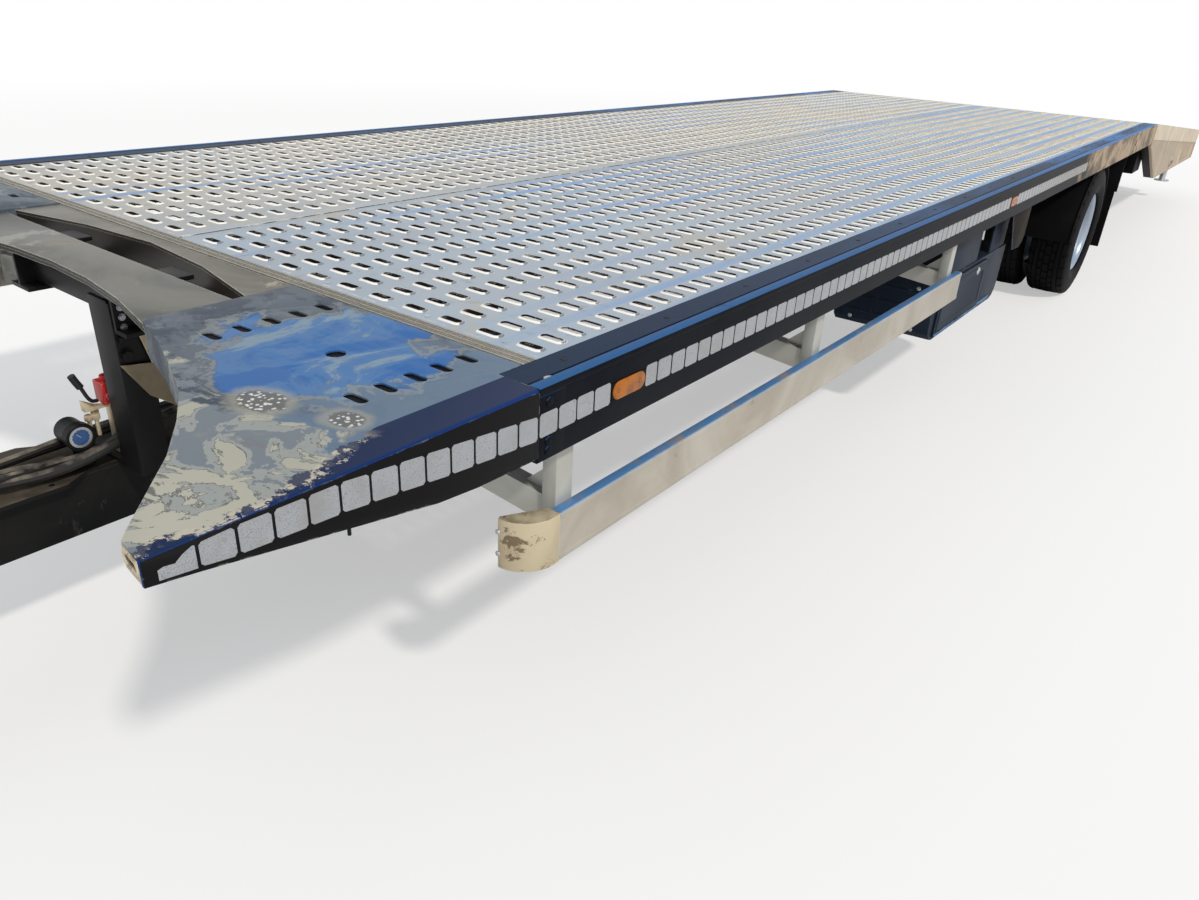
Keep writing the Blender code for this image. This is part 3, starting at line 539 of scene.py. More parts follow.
class Graph:
    """A node tree with short ways to add nodes and links."""

    def __init__(self, tree: bpy.types.NodeTree) -> None:
        """Starts on an empty tree."""
        self.tree = tree
        tree.nodes.clear()

    def add(self, kind: str, inputs: dict | None = None, **settings: object) -> bpy.types.Node:
        """Adds a node, sets it up and feeds its inputs.

        Args:
            kind: The node's type without the word ShaderNode.
            inputs: Values or output sockets by input name or number.
            **settings: The node's own settings.

        Returns:
            The node.
        """
        node = self.tree.nodes.new(f"ShaderNode{kind}" if not kind.startswith("NodeGroup") else kind)
        for key, value in settings.items():
            setattr(node, key, value)
        return self.feed(node, inputs or {})

    def feed(self, node: bpy.types.Node, inputs: dict) -> bpy.types.Node:
        """Feeds a node's inputs.

        Args:
            node: The node.
            inputs: Values or output sockets by input name or number. A colour may have three numbers.

        Returns:
            The same node.
        """
        for key, value in inputs.items():
            socket = node.inputs[key]
            if isinstance(value, bpy.types.NodeSocket):
                self.tree.links.new(value, socket)
            else:
                socket.default_value = (*value, 1.0) if socket.type == "RGBA" and len(value) == 3 else value
        return node

    def coords(self, scale: Point = (1, 1, 1)) -> bpy.types.NodeSocket:
        """The object coordinates, stretched by a scale."""
        place = self.add("TexCoord").outputs["Object"]
        if tuple(scale) == (1, 1, 1):
            return place
        return self.add("Mapping", {"Vector": place, "Scale": scale}).outputs[0]

    def noise(self, scale: float, detail: float = 4, rough: float = 0.55, stretch: Point = (1, 1, 1),
              warp: float = 0.0) -> bpy.types.NodeSocket:
        """A noise value over the object's own place.

        Args:
            scale: Cells per metre.
            detail: Layers of finer noise.
            rough: The weight of the finer layers.
            stretch: The stretch of the cells along X, Y and Z.
            warp: How far the noise folds itself.

        Returns:
            The socket of the value.
        """
        facts = {"Vector": self.coords(stretch), "Scale": scale, "Detail": detail, "Roughness": rough}
        return self.add("TexNoise", {**facts, "Distortion": warp}).outputs[0]

    def ramp(self, value: bpy.types.NodeSocket, low: float, high: float, to_low: float = 0,
             to_high: float = 1) -> bpy.types.NodeSocket:
        """A smooth change of a value between two limits."""
        facts = {"Value": value, "From Min": low, "From Max": high, "To Min": to_low, "To Max": to_high}
        return self.add("MapRange", facts, interpolation_type="SMOOTHSTEP").outputs[0]

    def math(self, kind: str, one: object, two: object = 0.0) -> bpy.types.NodeSocket:
        """One step of arithmetic."""
        return self.add("Math", {0: one, 1: two}, operation=kind).outputs[0]

    def times(self, one: object, two: object) -> bpy.types.NodeSocket:
        """The product of two values."""
        return self.math("MULTIPLY", one, two)

    def plus(self, one: object, two: object) -> bpy.types.NodeSocket:
        """The sum of two values."""
        return self.math("ADD", one, two)

    def minus(self, one: object, two: object) -> bpy.types.NodeSocket:
        """The first value less the second."""
        return self.math("SUBTRACT", one, two)

    def size(self, one: object) -> bpy.types.NodeSocket:
        """The value without its sign."""
        return self.math("ABSOLUTE", one)

    def mix(self, share: object, one: object, two: object) -> bpy.types.NodeSocket:
        """Two colours mixed by a share."""
        return self.add("MixRGB", {"Fac": share, "Color1": one, "Color2": two}).outputs[0]

    def group(self, name: str, inputs: dict) -> bpy.types.Node:
        """Places a shared effect."""
        return self.add("Group", inputs, node_tree=bpy.data.node_groups[name])

    def split(self) -> bpy.types.NodeOutputs:
        """The object coordinates as X, Y and Z."""
        return self.add("SeparateXYZ", {0: self.coords()}).outputs

    def facing(self, kind: str = "Normal") -> bpy.types.NodeOutputs:
        """The surface's direction as X, Y and Z."""
        return self.add("SeparateXYZ", {0: self.add("NewGeometry").outputs[kind]}).outputs


def effect(name: str, inputs: dict[str, tuple[str, object]], outputs: dict[str, str]) -> tuple[Graph, object, object]:
    """Starts a shared effect with named inputs and outputs.

    Args:
        name: The effect's name.
        inputs: The kind and first value of each input.
        outputs: The kind of each output.

    Returns:
        The graph, the node that holds the inputs and the node that takes the outputs.
    """
    tree = bpy.data.node_groups.new(name, "ShaderNodeTree")
    kinds = {"value": "NodeSocketFloat", "color": "NodeSocketColor", "vector": "NodeSocketVector"}
    for key, (kind, first) in inputs.items():
        socket = tree.interface.new_socket(key, in_out="INPUT", socket_type=kinds[kind])
        socket.default_value = first
    for key, kind in outputs.items():
        tree.interface.new_socket(key, in_out="OUTPUT", socket_type=kinds[kind])
    graph = Graph(tree)
    return graph, graph.add("NodeGroupInput"), graph.add("NodeGroupOutput")


def build_effects() -> None:
    """Builds the effects that several finishes share."""
    graph, given, result = effect("grime", {"Amount": ("value", 0.5), "Scale": ("value", 6.0)}, {"Mask": "value"})
    place = graph.coords()
    facing = graph.facing()[2]
    scale = given.outputs["Scale"]
    broad = graph.add("TexNoise", {"Vector": place, "Scale": scale, "Detail": 6, "Distortion": 0.6}).outputs[0]
    streaks = graph.add("Mapping", {"Vector": place, "Scale": (7, 7, 0.8)}).outputs[0]
    streaks = graph.add("TexNoise", {"Vector": streaks, "Scale": scale, "Detail": 3}).outputs[0]
    up = graph.ramp(facing, -0.2, 1.0, 0.35, 1.0)
    mixed = graph.times(graph.plus(broad, graph.times(streaks, 0.6)), up)
    low = graph.minus(1.05, graph.times(given.outputs["Amount"], 0.85))
    spread = graph.minus(mixed, low)
    mask = graph.add("Math", {0: graph.times(spread, 3.0), 1: 0.0}, operation="ADD", use_clamp=True)
    graph.tree.links.new(mask.outputs[0], result.inputs["Mask"])

    # The edge mask: worn edges, and in some finishes a painted highlight along the edges.
    inputs = {"Width": ("value", 0.004), "Amount": ("value", 0.5)}
    graph, given, result = effect("edge_wear", inputs, {"Mask": "value"})
    rounded = graph.add("Bevel", {"Radius": given.outputs["Width"]}, samples=4).outputs[0]
    straight = graph.add("NewGeometry").outputs["Normal"]
    same = graph.add("VectorMath", {0: rounded, 1: straight}, operation="DOT_PRODUCT").outputs["Value"]
    edge = graph.ramp(graph.minus(1.0, same), 0.01, 0.12)
    place = graph.coords()
    broken = graph.add("TexNoise", {"Vector": place, "Scale": 22.0, "Detail": 6, "Roughness": 0.7}).outputs[0]
    low = graph.minus(0.85, graph.times(given.outputs["Amount"], 0.6))
    patch = graph.times(graph.minus(broken, low), 9.0)
    patch = graph.add("Math", {0: patch, 1: 0.0}, operation="ADD", use_clamp=True).outputs[0]
    graph.tree.links.new(graph.times(edge, patch), result.inputs["Mask"])

    graph, given, result = effect(
        "fine_grain",
        {"Scale": ("value", 400.0), "Strength": ("value", 0.1), "Height": ("value", 0.0004)},
        {"Normal": "vector", "Value": "value"},
    )
    place = graph.coords()
    fine = graph.add("TexNoise", {"Vector": place, "Scale": given.outputs["Scale"], "Detail": 3}).outputs[0]
    facts = {"Strength": given.outputs["Strength"], "Distance": given.outputs["Height"], "Height": fine}
    graph.tree.links.new(graph.add("Bump", facts).outputs[0], result.inputs["Normal"])
    graph.tree.links.new(fine, result.inputs["Value"])


@dataclass(frozen=True)
class Look:
    """A surface with a material of its own.

    Attributes:
        name: The finish's name.
    """

    name: str

    def facts(self, graph: Graph) -> dict[str, object]:
        """The inputs of the material's shader.

        Args:
            graph: The material's graph.

        Returns:
            Values or sockets by input name.
        """
        raise NotImplementedError

    def material(self) -> bpy.types.Material:
        """The finished material, built once."""
        made = bpy.data.materials.get(f"{self.name}_finish")
        if made:
            return made
        made = bpy.data.materials.new(f"{self.name}_finish")
        made.use_nodes = True
        graph = Graph(made.node_tree)
        graph.add("OutputMaterial", {"Surface": graph.add("BsdfPrincipled", self.facts(graph)).outputs[0]})
        return made


@dataclass(frozen=True)
class Finish(Look):
    """A painted, plastic or unpainted metal surface with dirt and coloured edges: worn edges, and in some finishes a
    painted highlight along the edges.

    Attributes:
        color: The clean colour.
        shade: The colour of the broad cloudy change.
        dirt: The colour of the dust.
        bare_and_highlight: The colour under the paint at worn edges; where it is blue or cream it is a painted
            highlight along the edges.
        dirt_amount: From 0, clean, to 1, covered.
        wear_and_highlight: From 0, none, to 1, along every edge, for worn edges and painted edge highlights alike.
        roughness: The roughness where clean.
        metallic: The share of metal where clean.
        grain: The bumps per metre of the surface's grain.
        grain_height: How strong the grain's bump is.
        gloss: The specular level.
    """

    color: Color
    shade: Color
    dirt: Color = (0.38, 0.34, 0.28)
    bare_and_highlight: Color = (0.45, 0.44, 0.43)
    dirt_amount: float = 0.35
    wear_and_highlight: float = 0.3
    roughness: float = 0.4
    metallic: float = 0.0
    grain: float = 500.0
    grain_height: float = 0.12
    gloss: float = 0.35

    def colors(self, graph: Graph) -> bpy.types.NodeSocket:
        """The colour before dirt and the coloured edges.

        Args:
            graph: The material's graph.

        Returns:
            The socket of the colour.
        """
        return graph.mix(graph.ramp(graph.noise(2.2, 5, 0.6, warp=0.8), 0.35, 0.68), self.color, self.shade)

    def facts(self, graph: Graph) -> dict[str, object]:
        """The colour under dust, with coloured edges that are worn in most finishes and a painted highlight in some,
        and the grain's bumps.
        """
        grime = graph.group("grime", {"Amount": self.dirt_amount, "Scale": 5.0}).outputs["Mask"]
        # Edge colour: worn edges, and a painted highlight in the finishes whose edge colour is blue or cream.
        worn = graph.group("edge_wear", {"Width": 0.004, "Amount": self.wear_and_highlight}).outputs["Mask"]
        grain = graph.group("fine_grain", {"Scale": self.grain, "Strength": self.grain_height})
        dusty = graph.mix(grime, self.colors(graph), self.dirt)
        color = graph.mix(worn, dusty, self.bare_and_highlight)
        rough = graph.ramp(grain.outputs["Value"], 0.2, 0.8, self.roughness - 0.06, self.roughness + 0.06)
        rough = graph.mix(grime, rough, (0.78, 0.78, 0.78))
        return {"Base Color": color, "Roughness": rough, "Metallic": self.metallic, "Specular IOR Level": self.gloss,
                "Normal": grain.outputs["Normal"]}


@dataclass(frozen=True)
class FacedFinish(Finish):
    """A stained finish whose upper faces or walls have a colour of their own: dust on the drawbar's top, a painted sky
    reflection on the aluminium's top, and painted shade on the walls.

    Attributes:
        top: The colour of the upper faces, or None: dust on the drawbar, a painted sky reflection on the aluminium.
        wall: The colour of the walls, or None, a painted shade.
        stain: The colour of the stains.
        stained: How much is stained, from 0 to 1.
        coarse: The stains per metre.
    """

    top: Color | None = None
    wall: Color | None = None
    stain: Color = (0.07, 0.05, 0.03)
    stained: float = 0.0
    coarse: float = 16.0

    def colors(self, graph: Graph) -> bpy.types.NodeSocket:
        """Stains over the cloudy colour, then the upper faces and the walls' painted shade."""
        low = 0.70 - 0.20 * self.stained
        blots = graph.ramp(graph.noise(self.coarse, 8, 0.72, warp=0.5), low, low + 0.05, 0.0, 0.85)
        color = graph.mix(blots, super().colors(graph), self.stain)
        up = graph.facing()[2]
        # Upper faces: dust on the drawbar, a painted sky reflection on the aluminium.
        if self.top:
            color = graph.mix(graph.ramp(up, 0.6, 0.8), color, self.top)
        # Walls: painted shade.
        if self.wall:
            color = graph.mix(graph.ramp(up, 0.6, 0.4), color, self.wall)
        return color


@dataclass(frozen=True)
class BandFinish(Finish):
    """The rave's navy paint, with a painted reflection of the ground on the side towards the tail and a painted sky
    sheen on the top.

    Attributes:
        ground_reflection: The colour of the rear part of the side, a painted reflection of the ground.
        sheen: The colour of the upper faces, a painted sky sheen.
        sky: The colour of their brightest painted sheen, on the outer lip and in streaks.
        turn: The Y place where the painted reflection of the ground starts.
    """

    ground_reflection: Color = (0.40, 0.30, 0.20)
    sheen: Color = (0.014, 0.030, 0.065)
    sky: Color = (0.040, 0.17, 0.44)
    turn: float = at(4.2)

    def colors(self, graph: Graph) -> bpy.types.NodeSocket:
        """Navy at the front, a painted reflection of the ground on the side at the rear, and a top whose painted sky
        sheen turns from slate to sky blue.
        """
        cloud = graph.ramp(graph.noise(3.0, 5, 0.6, warp=0.8), 0.35, 0.68)
        color = graph.mix(cloud, self.color, self.shade)
        facing = graph.facing()[2]
        # The upper faces take the painted sky sheen.
        top = graph.ramp(facing, 0.35, 0.75)
        place = graph.split()
        # Painted reflection of the ground: the side turns to a blotched colour towards the rear, with a ragged front
        # edge.
        ragged = graph.plus(place[1], graph.times(graph.noise(5.0, 7, 0.7), 1.4))
        rear = graph.ramp(ragged, self.turn + 0.7, self.turn + 1.1)
        side = graph.times(rear, graph.minus(1.0, top))
        blotch = graph.ramp(graph.noise(7.0, 6, 0.65, warp=0.6), 0.42, 0.58)
        color = graph.mix(side, color, graph.mix(blotch, self.ground_reflection, (0.13, 0.10, 0.07)))
        # Painted highlight: a bright blue glint on the rounded outer lip and blue streaks towards the rear. The groove
        # keeps the plain navy.
        across = graph.size(place[0])
        lip = graph.ramp(across, 1.2475, 1.2490)
        groove = graph.ramp(graph.size(graph.minus(across, 1.2450)), 0.0015, 0.0030, 0.9, 0.0)
        rearward = graph.ramp(place[1], at(0.4), at(5.0))
        streak = graph.ramp(graph.noise(5.0, 5, 0.6, (1, 0.22, 1)), 0.40, 0.62)
        bright = graph.times(rearward, graph.math("MAXIMUM", lip, streak))
        bright = graph.math("MAXIMUM", bright, graph.times(lip, 0.55))
        upper = graph.mix(groove, graph.mix(bright, self.sheen, self.sky), self.color)
        return graph.mix(top, color, upper)


@dataclass(frozen=True)
class SheetFinish(Finish):
    """Galvanised sheet with dried dirt and painted light: a blue sky reflection between the rows of slots, a cream and
    golden highlight on the slots' rims, and shade on their outward and rearward slopes and on the slot walls.

    Attributes:
        blue: The colour of the strongest painted sky reflection.
        pale: The colour of the weak painted sky reflection.
        cold: The colour of the left half.
        rim: The colour of the slots' lit rims, a painted highlight.
        stain: The colour of the dried dirt.
        first: The X place of the middle of the first smooth band.
        pitch: From band to band.
    """

    blue: Color = (0.13, 0.31, 0.64)
    pale: Color = (0.36, 0.49, 0.62)
    cold: Color = (0.33, 0.41, 0.52)
    rim: Color = (0.95, 0.91, 0.84)
    stain: Color = (0.46, 0.41, 0.31)
    first: float = 0.0355
    pitch: float = 0.104

    def colors(self, graph: Graph) -> bpy.types.NodeSocket:
        """Silver bands with painted blue sky streaks, a painted highlight on the cream rims, painted blue-grey shade on
        the rims' outward and rearward slopes, and dark painted shade on the slot walls.
        """
        place = graph.split()
        across = graph.size(place[0])
        phase = graph.math("FRACT", graph.math("DIVIDE", graph.minus(across, self.first), self.pitch))
        band = graph.ramp(graph.size(graph.minus(phase, 0.5)), 0.31, 0.40)
        cloud = graph.ramp(graph.noise(1.3, 6, 0.62, (1.4, 0.7, 1), 0.5), 0.38, 0.66)
        color = graph.mix(cloud, self.color, self.shade)
        cool = graph.ramp(place[0], -1.0, 1.0, 0.0, 0.6)
        color = graph.mix(cool, color, self.cold)
        # Painted sky reflection: a pale wash and blue streaks on the smooth bands between the rows, more towards the
        # rear.
        rearward = graph.ramp(place[1], at(0.0), at(5.5), 0.0, 0.15)
        streak = graph.plus(graph.noise(0.8, 4, 0.55, (3.4, 0.55, 1), 0.3), rearward)
        wash = graph.ramp(graph.plus(graph.noise(0.55, 4, 0.5, (1.3, 0.6, 1), 0.6), rearward), 0.50, 0.74)
        color = graph.mix(graph.times(wash, 0.65), color, self.pale)
        sky = graph.times(graph.ramp(streak, 0.52, 0.72), band)
        color = graph.mix(graph.times(sky, 0.75), color, self.blue)
        dried = graph.ramp(graph.noise(3.4, 8, 0.68, (1, 0.6, 1), 0.8), 0.56, 0.66)
        color = graph.mix(graph.times(dried, 0.5), color, self.stain)
        spots = graph.ramp(graph.noise(26.0, 6, 0.7), 0.60, 0.70)
        color = graph.mix(graph.times(spots, 0.4), color, (0.20, 0.20, 0.20))
        # Painted light on the rims: a cream highlight, warmer towards the rear, and blue-grey shade on the slopes that
        # face outward or rearward.
        facing = graph.facing()
        up = facing[2]
        rim_light_and_shade = graph.mix(graph.ramp(place[1], at(0.5), at(5.5)), self.rim, (0.92, 0.83, 0.67))
        outward = graph.times(facing[0], graph.math("SIGN", place[0]))
        side = graph.ramp(graph.plus(outward, facing[1]), 0.15, 0.35)
        rim_light_and_shade = graph.mix(side, rim_light_and_shade, (0.22, 0.235, 0.26))
        color = graph.mix(graph.ramp(up, 0.97, 0.90), color, rim_light_and_shade)
        # Painted shade: the slot walls are near black.
        return graph.mix(graph.ramp(up, 0.40, 0.15), color, (0.030, 0.018, 0.012))


@dataclass(frozen=True)
class WingFinish(Finish):
    """The wing's worn plate with its painted outer strip, a painted sky reflection and a painted highlight on its
    rounded edge.

    Attributes:
        paint: The colour of the strip.
        edge: The colour of its rounded outer edge, a painted highlight.
        strip: The strip's width from the trailer's side.
        patch: The X place, station and half sizes of the blue patch, a painted sky reflection.
        pits: The X place, station and radius of each pitted spot.
    """

    paint: Color = (0.014, 0.026, 0.075)
    edge: Color = (0.008, 0.034, 0.15)
    strip: float = 0.080
    patch: tuple[float, float, float, float] = (0.885, -0.235, 0.235, 0.195)
    pits: tuple[tuple[float, float, float], ...] = ((1.000, -0.432, 0.052), (1.143, -0.386, 0.038))

    def spot(self, graph: Graph, across: bpy.types.NodeSocket, along: bpy.types.NodeSocket, middle: Pair,
             size: Pair) -> bpy.types.NodeSocket:
        """The distance from a point, where 1 is the edge of an ellipse.

        Args:
            graph: The graph.
            across: The place across the trailer.
            along: The place along it.
            middle: The ellipse's X place and station.
            size: Its half sizes.

        Returns:
            The socket of the distance.
        """
        one = graph.math("DIVIDE", graph.minus(across, middle[0]), size[0])
        two = graph.math("DIVIDE", graph.minus(along, at(middle[1])), size[1])
        return graph.math("SQRT", graph.plus(graph.math("POWER", one, 2.0), graph.math("POWER", two, 2.0)))

    def colors(self, graph: Graph) -> bpy.types.NodeSocket:
        """Stained zinc, a painted blue sky reflection in the middle, pitted spots, a chipped strip of paint along the
        side and a painted highlight on the rounded outer edge.
        """
        place = graph.split()
        across = graph.size(place[0])
        along = place[1]
        broad = graph.noise(5.0, 7, 0.62, warp=0.7)
        fine = graph.noise(13.0, 8, 0.70, warp=0.4)
        both = graph.plus(graph.times(broad, 0.65), graph.times(fine, 0.35))
        color = graph.mix(graph.ramp(both, 0.46, 0.52), (0.060, 0.078, 0.105), (0.118, 0.142, 0.175))
        color = graph.mix(graph.ramp(fine, 0.56, 0.62, 0.0, 0.35), color, (0.22, 0.24, 0.25))
        tilt = graph.plus(graph.times(across, 0.55), graph.times(broad, 0.30))
        plain = graph.ramp(tilt, 0.68, 0.76, 0.0, 0.8)
        color = graph.mix(plain, color, (0.14, 0.21, 0.30))
        rear = graph.ramp(graph.plus(along, graph.times(fine, 0.12)), at(0.010), at(0.050))
        inner = graph.ramp(graph.plus(across, graph.times(fine, 0.10)), 0.600, 0.585, 0.0, 0.12)
        color = graph.mix(graph.times(graph.math("MAXIMUM", rear, inner), 0.8), color, (0.27, 0.28, 0.27))
        tip = graph.ramp(graph.minus(along, graph.times(both, 0.9)), at(-0.900), at(-0.935))
        blotch = graph.noise(8.0, 7, 0.60, warp=0.8)
        pale = graph.mix(graph.ramp(blotch, 0.470, 0.480), (0.19, 0.22, 0.25), (0.32, 0.34, 0.33))
        beige = graph.mix(graph.ramp(along, at(-0.50), at(-0.72)), (0.42, 0.415, 0.35), (0.46, 0.455, 0.385))
        pale = graph.mix(graph.ramp(blotch, 0.540, 0.550), pale, beige)
        pale = graph.mix(graph.ramp(fine, 0.60, 0.62, 0.0, 0.7), pale, (0.19, 0.20, 0.21))
        color = graph.mix(tip, color, pale)
        line = graph.size(graph.minus(blotch, 0.544))
        color = graph.mix(graph.times(tip, graph.ramp(line, 0.002, 0.009, 0.8, 0.0)), color, (0.10, 0.10, 0.10))
        # Painted sky reflection: a blue patch in the middle with a paler ring round it.
        far = self.spot(graph, across, along, self.patch[:2], self.patch[2:])
        far = graph.plus(far, graph.times(graph.minus(broad, 0.5), 2.2))
        far = graph.plus(far, graph.times(graph.minus(fine, 0.5), 0.5))
        streak = graph.noise(7.0, 7, 0.65, (1, 0.45, 1), 0.9)
        sheen = graph.mix(graph.ramp(streak, 0.44, 0.52), (0.040, 0.145, 0.40), (0.085, 0.20, 0.42))
        sheen = graph.mix(graph.ramp(streak, 0.56, 0.62), sheen, (0.22, 0.31, 0.40))
        color = graph.mix(graph.ramp(far, 0.86, 1.02, 0.95, 0.0), color, sheen)
        ring = graph.ramp(graph.size(graph.minus(far, 1.01)), 0.02, 0.07, 0.45, 0.0)
        color = graph.mix(ring, color, (0.33, 0.35, 0.34))
        cells = graph.add("TexVoronoi", {"Vector": graph.coords(), "Scale": 120.0}).outputs["Distance"]
        beads = graph.ramp(cells, 0.42, 0.30)
        for x, station, radius in self.pits:
            off = self.spot(graph, across, along, (x, station), (radius, radius * 0.75))
            off = graph.plus(off, graph.times(graph.minus(fine, 0.5), 1.1))
            color = graph.mix(graph.ramp(off, 1.0, 1.5, 0.6, 0.0), color, (0.36, 0.35, 0.29))
            color = graph.mix(graph.ramp(off, 0.75, 1.0, 0.75, 0.0), color, (0.10, 0.105, 0.11))
            color = graph.mix(graph.times(graph.ramp(off, 0.70, 1.0, 1.0, 0.0), beads), color, (0.72, 0.71, 0.68))
        zone = graph.ramp(along, at(-0.37), at(-0.44))
        torn = graph.noise(16.0, 9, 0.75)
        ragged = graph.times(graph.times(graph.minus(torn, 0.60), 0.16), zone)
        narrow = graph.ramp(along, at(-0.44), at(-0.60), 0.0, 0.046)
        line = graph.minus(graph.plus(across, ragged), HALF_WIDTH - self.strip)
        line = graph.minus(line, narrow)
        strip = graph.ramp(line, -0.0006, 0.0006)
        chips = graph.plus(line, graph.times(graph.minus(graph.noise(26.0, 9, 0.75), 0.5), 0.11))
        flakes = graph.times(graph.ramp(chips, 0.018, 0.016), zone)
        flakes = graph.times(flakes, strip)
        crust = graph.mix(graph.ramp(graph.noise(48.0, 6, 0.7), 0.49, 0.53), (0.060, 0.070, 0.11), (0.52, 0.48, 0.40))
        color = graph.mix(strip, color, self.paint)
        color = graph.mix(flakes, color, crust)
        # Painted highlight: the rounded outer edge is bright blue. The cheek below it is near black.
        normal = graph.facing("True Normal")
        outer = graph.ramp(across, HALF_WIDTH - 0.012, HALF_WIDTH - 0.010)
        turned = graph.times(graph.ramp(normal[2], 0.995, 0.97), outer)
        color = graph.mix(turned, color, self.edge)
        flank = graph.times(graph.ramp(graph.size(normal[0]), 0.90, 0.98), outer)
        return graph.mix(flank, color, (0.009, 0.009, 0.010))


@dataclass(frozen=True)
class LensFinish(Look):
    """A coloured lens.

    Attributes:
        color: The lens's colour.
    """

    color: Color

    def facts(self, graph: Graph) -> dict[str, object]:
        """A cloudy colour over fine ribs."""
        ribs = graph.add("TexWave", {"Vector": graph.coords(), "Scale": 90.0}, bands_direction="Y").outputs["Fac"]
        dark = tuple(part * 0.45 for part in self.color)
        cloud = graph.ramp(graph.noise(30.0, 4), 0.35, 0.7)
        color = graph.mix(cloud, self.color, dark)
        bump = graph.add("Bump", {"Strength": 0.25, "Distance": 0.0006, "Height": ribs}).outputs[0]
        return {"Base Color": color, "Roughness": 0.25, "Specular IOR Level": 0.2, "Coat Weight": 0.1, "Normal": bump}


@dataclass(frozen=True)
class TapeFinish(Look):
    """White reflective tape with fine cells and grey chips."""

    def facts(self, graph: Graph) -> dict[str, object]:
        """Pale cells with grey stains, which fade towards the tail."""
        cells = graph.add("TexVoronoi", {"Vector": graph.coords(), "Scale": 330.0}, feature="DISTANCE_TO_EDGE")
        lines = graph.ramp(cells.outputs["Distance"], 0.02, 0.09)
        color = graph.mix(lines, (0.19, 0.205, 0.235), (0.36, 0.375, 0.40))
        cloud = graph.ramp(graph.noise(14.0, 5, 0.6), 0.4, 0.75)
        color = graph.mix(cloud, color, (0.27, 0.27, 0.27))
        faded = graph.ramp(graph.split()[1], at(2.9), at(4.2), 0.0, 0.6)
        color = graph.mix(faded, color, (0.20, 0.18, 0.15))
        bump = graph.add("Bump", {"Strength": 0.2, "Distance": 0.0003, "Height": lines}).outputs[0]
        return {"Base Color": color, "Roughness": 0.35, "Normal": bump}


# Its sky reflection, rim highlights and shade on the rims' slopes and the slot walls are painted in SheetFinish.
GALVANISED = SheetFinish("galvanised", (0.47, 0.455, 0.41), (0.36, 0.365, 0.36), dirt_amount=0.12, wear_and_highlight=0.6,
                         bare_and_highlight=(0.88, 0.86, 0.82), roughness=0.45, metallic=0.15, grain_height=0.05, gloss=0.15)
ZINC = Finish("zinc", (0.50, 0.51, 0.52), (0.36, 0.37, 0.39), dirt_amount=0.3, wear_and_highlight=0.5, bare_and_highlight=(0.8, 0.8, 0.8),
              roughness=0.35, metallic=0.6)
# Its sky reflection and edge highlight are painted in WingFinish.
WING = WingFinish("wing_plate", (0.5, 0.5, 0.5), (0.3, 0.3, 0.3), dirt_amount=0.0, wear_and_highlight=0.55,
                  bare_and_highlight=(0.60, 0.54, 0.43), roughness=0.45, metallic=0.05, grain_height=0.06, gloss=0.04)
# Its near-black walls are painted shade.
STEEL = FacedFinish("dark_steel", (0.085, 0.09, 0.085), (0.18, 0.178, 0.16), dirt_amount=0.15, wear_and_highlight=0.85,
                    bare_and_highlight=(0.62, 0.57, 0.46), roughness=0.42, metallic=0.1, gloss=0.15, wall=(0.006, 0.006, 0.006),
                    stain=(0.30, 0.30, 0.28), stained=0.6, coarse=3.0)
# Its dark walls are painted shade in the grooves, and its cream edges on every lip are a painted highlight.
SILL = FacedFinish("front_sill", (0.14, 0.135, 0.115), (0.25, 0.24, 0.21), dirt_amount=0.10, wear_and_highlight=1.0,
                   bare_and_highlight=(0.62, 0.59, 0.52), roughness=0.42, metallic=0.1, gloss=0.12, wall=(0.030, 0.026, 0.022),
                   stain=(0.40, 0.37, 0.30), stained=0.35, coarse=5.0)
FRAME_PAINT = Finish("frame_paint", (0.004, 0.0045, 0.005), (0.010, 0.010, 0.010), dirt=(0.10, 0.085, 0.065),
                     dirt_amount=0.22, wear_and_highlight=0.35, bare_and_highlight=(0.24, 0.21, 0.16), roughness=0.45, gloss=0.12)
DRAWBAR = FacedFinish("drawbar_paint", (0.005, 0.0055, 0.006), (0.014, 0.013, 0.012), dirt=(0.11, 0.09, 0.065),
                      dirt_amount=0.35, wear_and_highlight=0.4, bare_and_highlight=(0.24, 0.21, 0.16), roughness=0.5, gloss=0.10,
                      top=(0.050, 0.042, 0.033), stain=(0.060, 0.050, 0.040), stained=0.65, coarse=4.0)
# The light blue at its worn edges is a painted highlight; its other painted light is in BandFinish.
NAVY = BandFinish("rave_paint", (0.004, 0.005, 0.009), (0.008, 0.009, 0.013), dirt=(0.035, 0.036, 0.042),
                  dirt_amount=0.08, wear_and_highlight=0.22, bare_and_highlight=(0.10, 0.19, 0.34), roughness=0.42, gloss=0.03)
TAN = FacedFinish("tail_paint", (0.42, 0.33, 0.23), (0.31, 0.235, 0.155), dirt=(0.30, 0.25, 0.19), dirt_amount=0.25,
                  wear_and_highlight=0.7, bare_and_highlight=(0.66, 0.60, 0.50), roughness=0.48, gloss=0.25, stain=(0.56, 0.50, 0.41),
                  stained=0.6, coarse=5.0)
CREAM = FacedFinish("tail_band", (0.60, 0.52, 0.39), (0.47, 0.38, 0.27), dirt=(0.34, 0.28, 0.20), dirt_amount=0.30,
                    wear_and_highlight=0.6, bare_and_highlight=(0.78, 0.74, 0.64), roughness=0.45, gloss=0.25, stain=(0.20, 0.16, 0.11),
                    stained=0.35, coarse=7.0)
